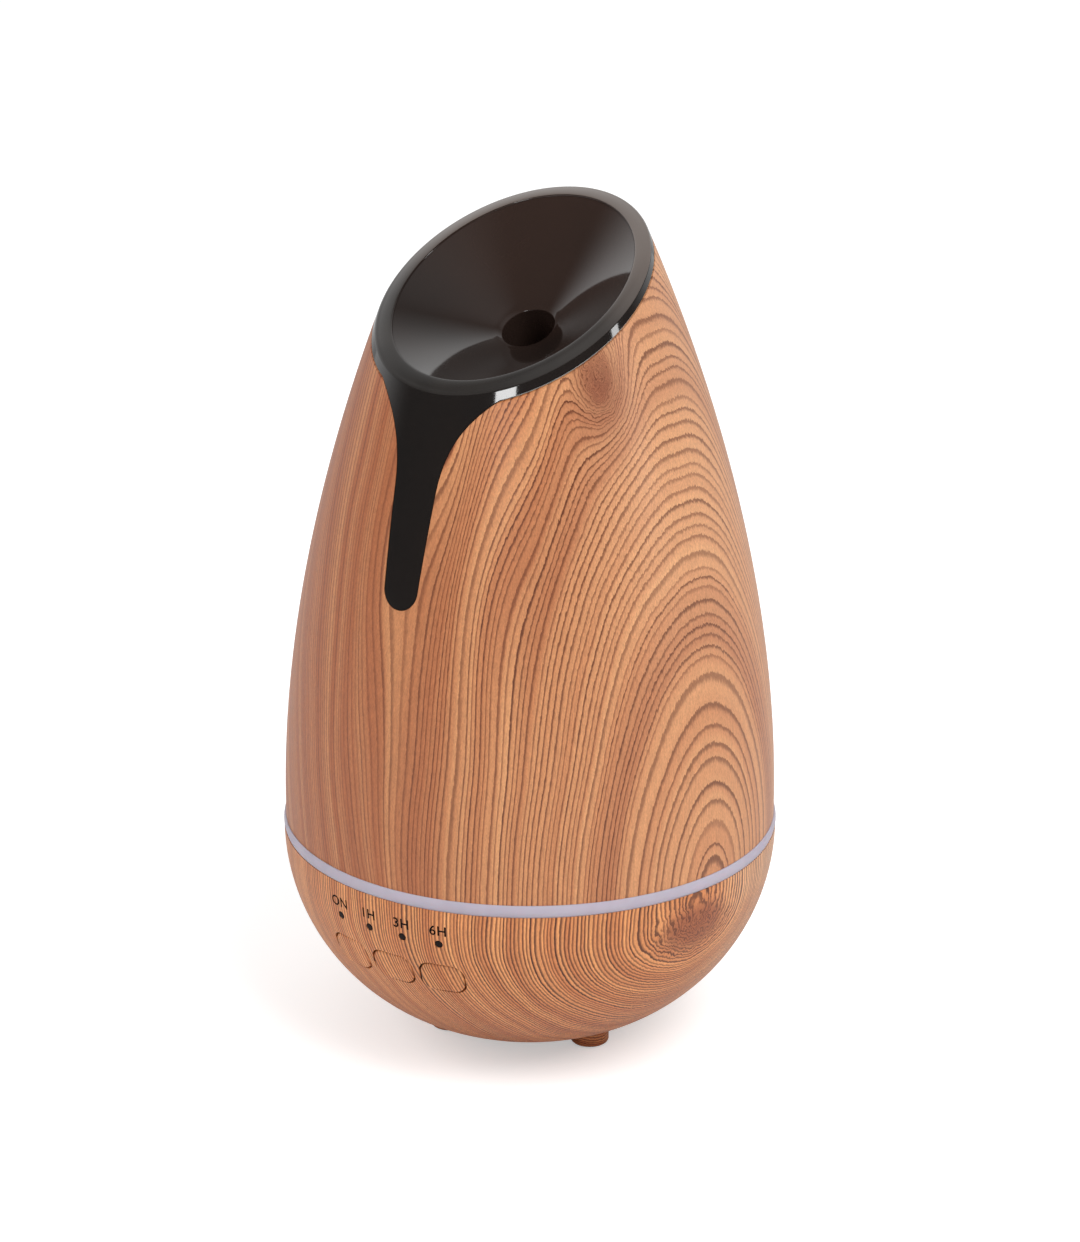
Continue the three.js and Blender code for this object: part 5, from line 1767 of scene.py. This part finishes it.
    def _mark_cone(self, funnel: bpy.types.Object) -> None:
        """Gives the cone's faces the finish with the browner painted glow, and the rim's top the
        one with the paler painted glow.

        Args:
            funnel: The settled piece, with its finishes.
        """
        slant, mesh = self.housing.slant, funnel.data
        inverse = slant.matrix().inverted()
        lap = self.cone_margin - self.rim_width
        edge_x, edge_y = (half + lap for half in (slant.half_width, slant.half_length))
        for polygon in mesh.polygons:
            at = inverse @ (polygon.center / MM)
            in_mouth = (at.x / edge_x) ** 2 + (at.y / edge_y) ** 2 < 1
            if in_mouth and at.z > -self.cone_bottom:
                polygon.material_index = Smoke.CONE.value
            elif at.z > -self.rim_top:
                polygon.material_index = Smoke.RIM_TOP.value

    def _gasket(self) -> bpy.types.Object:
        """The soft seal that shows as a fine line under the rim.

        Returns:
            The dressed piece.
        """
        slant, press = self.housing.slant, self.gasket_press
        low, high = self.rim_thickness + self.gasket - press, self.rim_thickness + press
        outer, inner = self.gasket_inset, self.housing.cover_wall - self.fit
        corners = ((low, outer), (high, outer), (high, inner), (low, inner))
        rings = [slant.on_egg(self._angles(), depth, inset) for depth, inset in corners]
        seal = ring_solid("funnel_seal", rings, looped=True)
        combine(seal, self._pocket(), Operation.CUT)
        settle(seal)
        dress(seal, self.finishes.take("silicone"))
        return seal


# ---- base ---------------------------------------------------------------------------------------


def polar(radius: float, degrees: float) -> tuple[float, float]:
    """The place at an angle from the front, going towards +X, on a circle round the axis."""
    a = math.radians(degrees)
    return radius * math.sin(a), -radius * math.cos(a)


BUTTON_SIDES = ("left", "middle", "right")


@dataclass
class KeyLayout:
    """Where the buttons, the indicator lights and their words sit on the bowl.

    Sizes are in millimetres, and the spacings in degrees round the bowl.
    """

    housing: Housing
    panel_z: float = 38.0
    tilt: float = math.radians(25)
    spacing: float = 13.5
    width: float = 11.6
    height: float = 8.6
    corner: float = 3.0
    gap: float = 0.5
    light_z: float = 49.0
    light_spacing: float = 9.25
    light_radius: float = 1.0
    words: tuple[str, ...] = ("ON", "1H", "3H", "6H")
    press_search: tuple[float, float] = (-14.0, 8.0)

    def frame(self, index: int) -> Matrix:
        """A button's frame: +X to the right, +Y up the bowl, +Z out along the press.

        Args:
            index: The button's number, from the left.

        Returns:
            The transform to the housing's frame.
        """
        middle = (len(BUTTON_SIDES) - 1) / 2
        reach = self.housing.bowl.radius(self.panel_z)
        panel = Matrix.Translation((0, -reach, self.panel_z))
        panel @= Matrix.Rotation(QUARTER_TURN + self.tilt, 4, "X")
        return Matrix.Rotation(math.radians(self.spacing * (index - middle)), 4, "Z") @ panel

    def light_angle(self, index: int) -> float:
        """The angle of an indicator light from the front, in degrees."""
        return self.light_spacing * (index - (len(self.words) - 1) / 2)

    def cap_outline(self, grow: float = 0.0) -> np.ndarray:
        """A cap's outline seen along the press, grown by a distance.

        Args:
            grow: The distance.

        Returns:
            One row of x and y per point.
        """
        width, height = (side + 2 * grow for side in (self.width, self.height))
        return rounded_rectangle(width, height, self.corner + grow)

    def on_bowl(self, frame_of: Matrix, outline: np.ndarray, inset: float) -> np.ndarray:
        """An outline in a button's frame, dropped along the press on to the bowl moved in.

        Args:
            frame_of: The button's frame.
            outline: The outline, as rows of x and y.
            inset: How far in the bowl is moved.

        Returns:
            The points in the housing's frame.
        """

        def inside(lift: np.ndarray) -> np.ndarray:
            """Which of the outline's points lie in the bowl when lifted so far."""
            at = placed(np.column_stack([outline, lift]), frame_of)
            return np.hypot(at[:, 0], at[:, 1]) < self.housing.bowl.radius(at[:, 2], inset)

        low, high = (np.full(len(outline), end) for end in self.press_search)
        lift = furthest(inside, low, high, halvings=36)
        return placed(np.column_stack([outline, lift]), frame_of)


@dataclass
class Base:
    """The wood-print bowl on its pegs, the light ring, the lights and the words above them.

    Sizes are in millimetres, and angles in degrees from the front towards +X.
    """

    CAPITAL: ClassVar[float] = 0.72  # a capital's height as a share of the font's size

    housing: Housing
    keys: KeyLayout
    finishes: FinishRack
    peg_radius: float = 5.1
    peg_offset: float = 5.3
    peg_round: float = 0.9
    peg_lift: float = 0.3
    peg_angles: tuple[int, ...] = (80, 200, 320)
    pad_radius: float = 3.6
    pad_thickness: float = 1.5
    boss_angles: tuple[int, ...] = (18, 138, 258)
    boss_circle: float = 33.0
    boss_radius: float = 4.0
    boss_top: float = 24.0
    screw_seat: float = 13.0
    screw_head: float = 2.8
    screw_shank: float = 1.4
    screw_gap: float = 0.3
    slot_count: int = 14
    slot_width: float = 1.8
    slot_inner: float = 6.0
    ledge_width: float = 1.6
    ledge_drop: float = 2.4
    ledge_margin: float = 0.5
    jack_z: float = 27.8
    jack_reach: float = 55.0
    jack_hole: float = 5.0
    ring_swell: float = 0.35
    ring_inner: float = 61.3
    letter_height: float = 2.75
    letter_z: float = 52.75
    letter_weight: float = 0.045
    ink_depth: float = 0.03

    def build(self) -> list[bpy.types.Object]:
        """Makes and dresses the base's pieces.

        Returns:
            The bowl, the ring, and each light with its word.
        """
        bowl, ring = self._bowl(), self._light_ring()
        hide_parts("base_bowl")
        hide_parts("light_ring")
        made = [bowl, ring]
        for index, node in enumerate(("lens_on", "lens_1h", "lens_3h", "lens_6h")):
            lens = self._lens(index, node)
            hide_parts(node)
            made += [lens, self._word(index)]
        for piece in made:
            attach(piece, BASE_BODY)
        return made

    def _bowl(self) -> bpy.types.Object:
        """The bowl's wall with its ledge, pegs, bosses and every opening.

        Returns:
            The dressed piece.
        """
        h = self.housing
        bowl = h.filled(h.bowl, 0)
        rim = h.belt.bottom
        mouth = h.belt.radius - h.bowl_inset - h.bowl_wall - self.ledge_margin
        throat = column(mouth - self.ledge_width, -5, rim + PAST, segments=SHELL_FLATS)
        hollow = combine(h.filled(h.bowl, h.bowl_wall), throat, Operation.KEEP_COMMON)
        step = column(mouth, rim - self.ledge_drop, rim + PAST, segments=SHELL_FLATS)
        combine(bowl, combine(hollow, step, Operation.JOIN), Operation.CUT)
        combine(bowl, self._pegs_and_bosses(), Operation.JOIN)
        combine(bowl, gathered(self._openings()), Operation.CUT)
        bowl.name = "wood_bowl"
        settle(bowl, [(h.bowl, 0), (h.bowl, h.bowl_wall)])
        dress(bowl, self.finishes.take("bowl_wood"))
        return bowl

    def _pegs_and_bosses(self) -> bpy.types.Object:
        """The three pegs and the three screw bosses, which stay clear of each other.

        Returns:
            The new object.
        """
        h = self.housing
        a = np.linspace(0, QUARTER_TURN, 6)
        across = self.peg_radius - self.peg_round + self.peg_round * np.sin(a)
        up = self.peg_lift + self.peg_round * (1 - np.cos(a))
        top = h.floor_z + 6
        rounding = np.column_stack([across, up])
        profile = np.vstack([[0, self.peg_lift], rounding, [self.peg_radius, top], [0, top]])
        pegs = [turned("peg", profile, 48, at) for at in self._peg_places()]
        bosses = [
            column(self.boss_radius, h.floor_z + 2.0, self.boss_top, polar(self.boss_circle, angle))
            for angle in self.boss_angles
        ]
        outer = h.filled(h.bowl, 0.5)
        bosses_inside = combine(gathered(bosses), outer, Operation.KEEP_COMMON)
        pegs_outside = combine(gathered(pegs), h.filled(h.bowl, h.bowl_wall), Operation.CUT)
        return gathered([bosses_inside, pegs_outside])

    def _peg_places(self) -> list[tuple[float, float]]:
        """The pegs' middles."""
        reach = self.housing.floor_radius + self.peg_offset
        return [polar(reach, angle) for angle in self.peg_angles]

    def _openings(self) -> list[bpy.types.Object]:
        """Every hole in the bowl's wall, as tools that don't touch each other.

        Returns:
            The tools.
        """
        keys, floor = self.keys, self.housing.floor_radius
        side = self.slot_width / 2
        slots = [
            block(
                (self.slot_inner, -side, -PAST),
                (floor - 1, side, 2 * self.housing.floor_z),
                Matrix.Rotation(FULL_TURN * i / self.slot_count, 4, "Z"),
            )
            for i in range(self.slot_count)
        ]
        pad = self.pad_radius + 0.15
        pads = [column(pad, -PAST, self.pad_thickness, at) for at in self._peg_places()]
        cap = keys.cap_outline(keys.gap)
        buttons = [prism(cap, -9, 6, keys.frame(i)) for i in range(len(BUTTON_SIDES))]
        light = circle(32, keys.light_radius + 0.1)
        lights = [prism(light, -6, 6, self._light_frame(i)) for i in range(len(keys.words))]
        jack = column(self.jack_hole, -10, 10)
        place = Matrix.Translation((0, self.jack_reach, self.jack_z))
        jack.data.transform(place @ Matrix.Rotation(QUARTER_TURN, 4, "X"))
        return [*slots, *pads, *self._screw_holes(), *buttons, *lights, jack]

    def _screw_holes(self) -> list[bpy.types.Object]:
        """The stepped holes for the case screws, from under the bowl up through each boss.

        Returns:
            The tools.
        """
        seat, top = self.screw_seat, self.boss_top + PAST
        head, shank = (radius + self.screw_gap for radius in (self.screw_head, self.screw_shank))
        steps = [[head, -PAST], [head, seat], [shank, seat], [shank, top]]
        profile = np.array([[0, -PAST], *steps, [0, top]])
        places = [polar(self.boss_circle, angle) for angle in self.boss_angles]
        return [turned("screw_hole", profile, 36, at) for at in places]

    def _light_frame(self, index: int) -> Matrix:
        """An indicator light's frame, square to the bowl.

        Args:
            index: The light's number, from the left.

        Returns:
            The transform to the housing's frame.
        """
        keys, bowl = self.keys, self.housing.bowl
        part = bowl.normal(np.array([keys.light_z]))[0]
        lean = math.atan2(-part[1], part[0])
        at = Matrix.Translation((0, -bowl.radius(keys.light_z), keys.light_z))
        turn = Matrix.Rotation(math.radians(keys.light_angle(index)), 4, "Z")
        return turn @ at @ Matrix.Rotation(QUARTER_TURN + lean, 4, "X")

    def _lens(self, index: int, node: str) -> bpy.types.Object:
        """A light pipe's end, a little domed, just below the bowl's surface.

        Args:
            index: The light's number, from the left.
            node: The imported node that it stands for.

        Returns:
            The dressed piece.
        """
        dome = ((0.3, 0.0), (0.6, -0.02), (0.85, -0.06), (1.0, -0.16))
        stem = ((1.0, -7.0), (0.5, -7.0))
        around, rings = circle(32), []
        for share, lift in dome + stem:
            flat = share * self.keys.light_radius * around
            ring = np.column_stack([flat, np.full(len(around), lift)])
            rings.append(placed(ring, self._light_frame(index)))
        lens = ring_solid(f"light_pipe_{node.removeprefix('lens_')}", rings, looped=False)
        settle(lens)
        dress(lens, self.finishes.take("light_pipe"))
        return lens

    def _word(self, index: int) -> bpy.types.Object:
        """A time's word, printed on the bowl above its light.

        Args:
            index: The light's number, from the left.

        Returns:
            The dressed piece.
        """
        text = bpy.data.curves.new("word", "FONT")
        text.body = self.keys.words[index]
        text.align_x = "CENTER"
        text.align_y = "CENTER"
        text.size = self.letter_height / self.CAPITAL
        text.space_character = 1.08
        text.offset = self.letter_weight
        text.extrude = self.ink_depth / 2
        source = bpy.data.objects.new("word", text)
        bpy.context.scene.collection.objects.link(source)
        bpy.context.view_layer.update()
        mesh = evaluated_mesh(source)
        bpy.data.objects.remove(source)
        flat = vertex_array(mesh)
        bowl = self.housing.bowl
        z = self.letter_z + flat[:, 1]
        radius = bowl.radius(z) + flat[:, 2] + self.ink_depth / 2
        turn = math.radians(self.keys.light_angle(index)) + flat[:, 0] / bowl.radius(self.letter_z)
        wrapped = np.column_stack([radius * np.sin(turn), -radius * np.cos(turn), z])
        mesh.vertices.foreach_set("co", (wrapped * MM).ravel())
        mesh.update()
        word = bpy.data.objects.new(f"word_{self.keys.words[index].lower()}", mesh)
        bpy.context.scene.collection.objects.link(word)
        dress(word, self.finishes.take("ink"))
        return word

    def _light_ring(self) -> bpy.types.Object:
        """The frosted band, its face swelling a little between the two shells.

        Returns:
            The dressed piece.
        """
        belt = self.housing.belt
        a = np.linspace(-1, 1, 13)
        height = belt.middle + a * (belt.top - belt.bottom) / 2
        face = np.column_stack([belt.radius - self.ring_swell * a**2, height])
        profile = np.vstack([[self.ring_inner, belt.bottom], face, [self.ring_inner, belt.top]])
        ring = turned("frosted_ring", profile, SHELL_FLATS)
        settle(ring)
        dress(ring, self.finishes.take("frosted_plastic"))
        return ring


# ---- buttons ------------------------------------------------------------------------------------


@dataclass
class Buttons:
    """The three wood-print caps, each riding on its own key.

    Sizes are in millimetres. The face is proud or sunk against the bowl round it.
    """

    keys: KeyLayout
    finishes: FinishRack
    edge: float = 0.4
    proud: float = 0.1
    sunk_above: float = 0.36
    sunk_beside: float = 0.16
    clearance: float = 0.4
    lip: float = 0.5
    lip_depth: float = 0.9
    stem_radius: float = 1.3
    hub: float = 0.08

    def build(self) -> list[bpy.types.Object]:
        """Makes and dresses the three caps.

        Returns:
            The caps, from the left.
        """
        made = []
        for index, side in enumerate(BUTTON_SIDES):
            cap = self._cap(index, side)
            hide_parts(f"{side}_button")
            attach(cap, f"{side}_key")
            made.append(cap)
        return made

    def _cap(self, index: int, side: str) -> bpy.types.Object:
        """A cap that follows the bowl, with a soft edge, a lip behind the wall and a stem.

        Args:
            index: The button's number, from the left.
            side: Its name's first word.

        Returns:
            The dressed piece.
        """
        place, wall = self.keys.frame(index), self.keys.housing.bowl_wall
        rings = [self._face_ring(place, share, 0, 0) for share in np.linspace(self.hub, 0.9, 9)]
        for a in np.linspace(0, QUARTER_TURN, 6):
            inset, depth = (self.edge * (1 - f(a)) for f in (math.sin, math.cos))
            rings.append(self._face_ring(place, 1, -inset, depth))
        front = wall + self.clearance
        back = front + self.lip_depth
        for share, grow, inset in (
            (1, 0, front),
            (1, self.lip, front),
            (1, self.lip, back),
            (self.hub, 0, back),
        ):
            rings.append(self._ring(place, share, grow, inset))
        cap = ring_solid("cap", rings, looped=False)
        start, end = -wall - 2 * self.clearance, self._stem_end(side, place)
        stem = prism(circle(24, self.stem_radius), end, start, place)
        combine(cap, stem, Operation.JOIN)
        cap.name = f"{side}_cap"
        settle(cap)
        dress(cap, self.finishes.take("bowl_wood"))
        return cap

    def _face_ring(self, place: Matrix, share: float, grow: float, inset: float) -> np.ndarray:
        """A ring of the cap's face, proud at its lower left and sunk at its upper right.

        Args:
            place: The button's frame.
            share: The share that the outline is shrunk to.
            grow: How far it is grown.
            inset: How far under the face.

        Returns:
            The ring's points.
        """
        ring = self._ring(place, share, grow, inset - self.proud)
        turn = np.array(place)
        right, above, out = turn[:3, :3].T
        across = (ring - turn[:3, 3]) @ right / (self.keys.width / 2)
        up = (ring - turn[:3, 3]) @ above / (self.keys.height / 2)
        return ring - np.outer(self.sunk_above * up + self.sunk_beside * across, out)

    def _ring(self, place: Matrix, share: float, grow: float, inset: float) -> np.ndarray:
        """The cap's outline, shrunk to a share or grown, on the bowl moved in by an inset."""
        return self.keys.on_bowl(place, share * self.keys.cap_outline(grow), inset)

    def _stem_end(self, side: str, place: Matrix) -> float:
        """How far in along the press the solid button's stem reaches."""
        solid, back = frame["nodes"][f"{side}_button"].data, place.inverted()
        return min((back @ (vertex.co / MM)).z for vertex in solid.vertices)


# ---- what stays as packed -----------------------------------------------------------------------


def dress_packed_nodes(finishes: FinishRack) -> int:
    """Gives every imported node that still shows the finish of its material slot.

    Args:
        finishes: The finishes by slot name.

    Returns:
        How many nodes were dressed.
    """
    slots = {part["node"]: part["material_slot"] for part in frame["record"]["subparts"]}
    dressed = 0
    for name, node in frame["nodes"].items():
        if node.hide_render:
            continue
        finish = finishes.take(slots[name])
        for index in range(len(node.material_slots)):
            node.material_slots[index].material = finish
        dressed += 1
    return dressed


# ---- studio -------------------------------------------------------------------------------------


@dataclass(frozen=True)
class Lamp:
    """A soft box that faces the object.

    Args:
        name: The lamp's name.
        azimuth: Its direction from the front towards +X, in degrees.
        elevation: Its angle above the level, in degrees.
        distance: Its distance, in metres.
        width: Its width, in metres.
        height: Its height, in metres.
        power: Its power, in watts.
        mirrored: True if only glossy surfaces show it, False if they don't.
    """

    name: str
    azimuth: float
    elevation: float
    distance: float
    width: float
    height: float
    power: float
    mirrored: bool


@dataclass
class Studio:
    """The pale floor, the plain surround, the soft lamps and the camera.

    The camera is placed in millimetres and radians. Its clipping distances and the floor's
    radius are in metres.
    """

    azimuth: float = math.radians(34.7)
    elevation: float = math.radians(20.25)
    distance: float = 975.0
    aim_height: float = 113.4
    aside: float = 2.65
    lens: float = 108.7
    sensor: float = 36.0
    clip: tuple[float, float] = (0.01, 50.0)
    floor_radius: float = 6.0
    floor_flats: int = 96
    paper: float = 0.82
    paper_glow: float = 0.42
    sky: float = 0.62
    backdrop: float = 0.9
    back_from: float = -0.15
    back_to: float = 0.55
    ceiling: float = 0.3
    above_from: float = 0.86
    above_to: float = 0.99
    room: float = 0.06
    lamps: tuple[Lamp, ...] = (
        Lamp("key_lamp", 75, 48, 1.5, width=0.9, height=0.9, power=16, mirrored=False),
        Lamp("fill_lamp", -35, 35, 1.6, width=1.0, height=1.0, power=8, mirrored=False),
        Lamp("soft_box", 18.6, 24, 1.5, width=0.34, height=0.17, power=2.6, mirrored=True),
        Lamp("side_box", 105, 18, 1.5, width=0.16, height=0.5, power=2.4, mirrored=True),
    )

    def build(self) -> None:
        """Makes the studio."""
        self._camera()
        self._floor()
        self._world()
        for lamp in self.lamps:
            self._light(lamp)

    def _direction(self, azimuth: float, elevation: float) -> Vector:
        """The unit vector from the object towards a place in the studio."""
        flat = math.cos(elevation)
        return Vector((math.sin(azimuth) * flat, -math.cos(azimuth) * flat, math.sin(elevation)))

    def _camera(self) -> None:
        """The camera, looking a little past the object's axis."""
        data = bpy.data.cameras.new("camera")
        data.sensor_width = self.sensor
        data.lens = self.lens
        data.clip_start, data.clip_end = self.clip
        camera = bpy.data.objects.new("camera", data)
        bpy.context.scene.collection.objects.link(camera)
        aside = self.aside * Vector((math.cos(self.azimuth), math.sin(self.azimuth), 0))
        aim = Vector((0, 0, self.aim_height)) + aside
        back = self._direction(self.azimuth, self.elevation)
        camera.location = (aim + self.distance * back) * MM
        camera.rotation_euler = (-back).to_track_quat("-Z", "Y").to_euler()
        bpy.context.scene.camera = camera

    def _floor(self) -> None:
        """A wide pale disc that keeps the object's shadow."""
        count = self.floor_flats
        edge = np.column_stack([circle(count, self.floor_radius), np.zeros(count)])
        floor = new_object("floor", edge, [range(count)])
        material = bpy.data.materials.new("paper")
        material.use_nodes = True
        g = Graph(material.node_tree)
        paper = g.shader("ShaderNodeBsdfDiffuse", Color=(*[self.paper] * 3, 1.0))
        glow = g.shader("ShaderNodeEmission", Strength=self.paper_glow)
        both = g.node("ShaderNodeAddShader")
        for socket, part in zip(both.inputs, (paper, glow)):
            g.feed(socket, part)
        surface = g.either(g.seen_by("Camera"), paper, Term(g, both.outputs[0]))
        g.finish("ShaderNodeOutputMaterial", surface)
        dress(floor, material)

    def _world(self) -> None:
        """A plain surround: white behind the object and overhead, dim on the camera's side."""
        world = bpy.data.worlds.new("studio")
        bpy.context.scene.world = world
        world.use_nodes = True
        g = Graph(world.node_tree)
        towards = g.node("ShaderNodeTexCoord").outputs["Generated"]
        behind = -self._direction(self.azimuth, self.elevation)
        along = g.node("ShaderNodeVectorMath", operation="DOT_PRODUCT")
        g.feed(along.inputs[0], Term(g, towards))
        g.feed(along.inputs[1], behind[:])
        split = g.node("ShaderNodeSeparateXYZ")
        g.feed(split.inputs[0], Term(g, towards))
        back = g.rise(Term(g, along.outputs["Value"]), self.back_from, self.back_to)
        above = g.rise(Term(g, split.outputs[2]), self.above_from, self.above_to) * self.ceiling
        mirrored = g.math("MAXIMUM", back * self.backdrop, above) + self.room
        white = g.shader("ShaderNodeBackground", Strength=1.0)
        light = g.shader("ShaderNodeBackground", Strength=self.sky)
        mirror = g.shader("ShaderNodeBackground", Strength=mirrored)
        for background in (white, light, mirror):
            background.socket.node.inputs["Color"].default_value = (1, 1, 1, 1)
        unseen = g.either(g.seen_by("Glossy"), light, mirror)
        g.finish("ShaderNodeOutputWorld", g.either(g.seen_by("Camera"), unseen, white))

    def _light(self, lamp: Lamp) -> None:
        """Hangs a lamp, which faces the object.

        Args:
            lamp: What it is and where it hangs.
        """
        data = bpy.data.lights.new(lamp.name, "AREA")
        data.shape = "RECTANGLE"
        data.size = lamp.width
        data.size_y = lamp.height
        data.energy = lamp.power
        hung = bpy.data.objects.new(lamp.name, data)
        bpy.context.scene.collection.objects.link(hung)
        towards = self._direction(math.radians(lamp.azimuth), math.radians(lamp.elevation))
        hung.location = towards * lamp.distance + Vector((0, 0, self.aim_height * MM))
        hung.rotation_euler = (-towards).to_track_quat("-Z", "Y").to_euler()
        hung.visible_glossy = lamp.mirrored
        hung.visible_diffuse = not lamp.mirrored


def main() -> None:
    """Builds the sub-assemblies in order, dresses the rest and sets the studio."""
    logging.basicConfig(level=logging.INFO, format="%(name)s: %(message)s")
    bpy.context.scene.view_settings.view_transform = "Standard"
    housing = Housing(Belt.from_frame())
    finishes = FinishRack(housing.belt.middle)
    keys = KeyLayout(housing)
    cover, base = Cover(housing, finishes), Base(housing, keys, finishes)
    for assembly in (cover, base, Buttons(keys, finishes)):
        for piece in assembly.build():
            count = len(piece.data.polygons)
            log.info("%s: %s has %d faces", type(assembly).__name__, piece.name, count)
    log.info("packed nodes dressed: %d", dress_packed_nodes(finishes))
    Studio().build()
    bpy.context.view_layer.update()


if __name__ == "__main__":
    main()
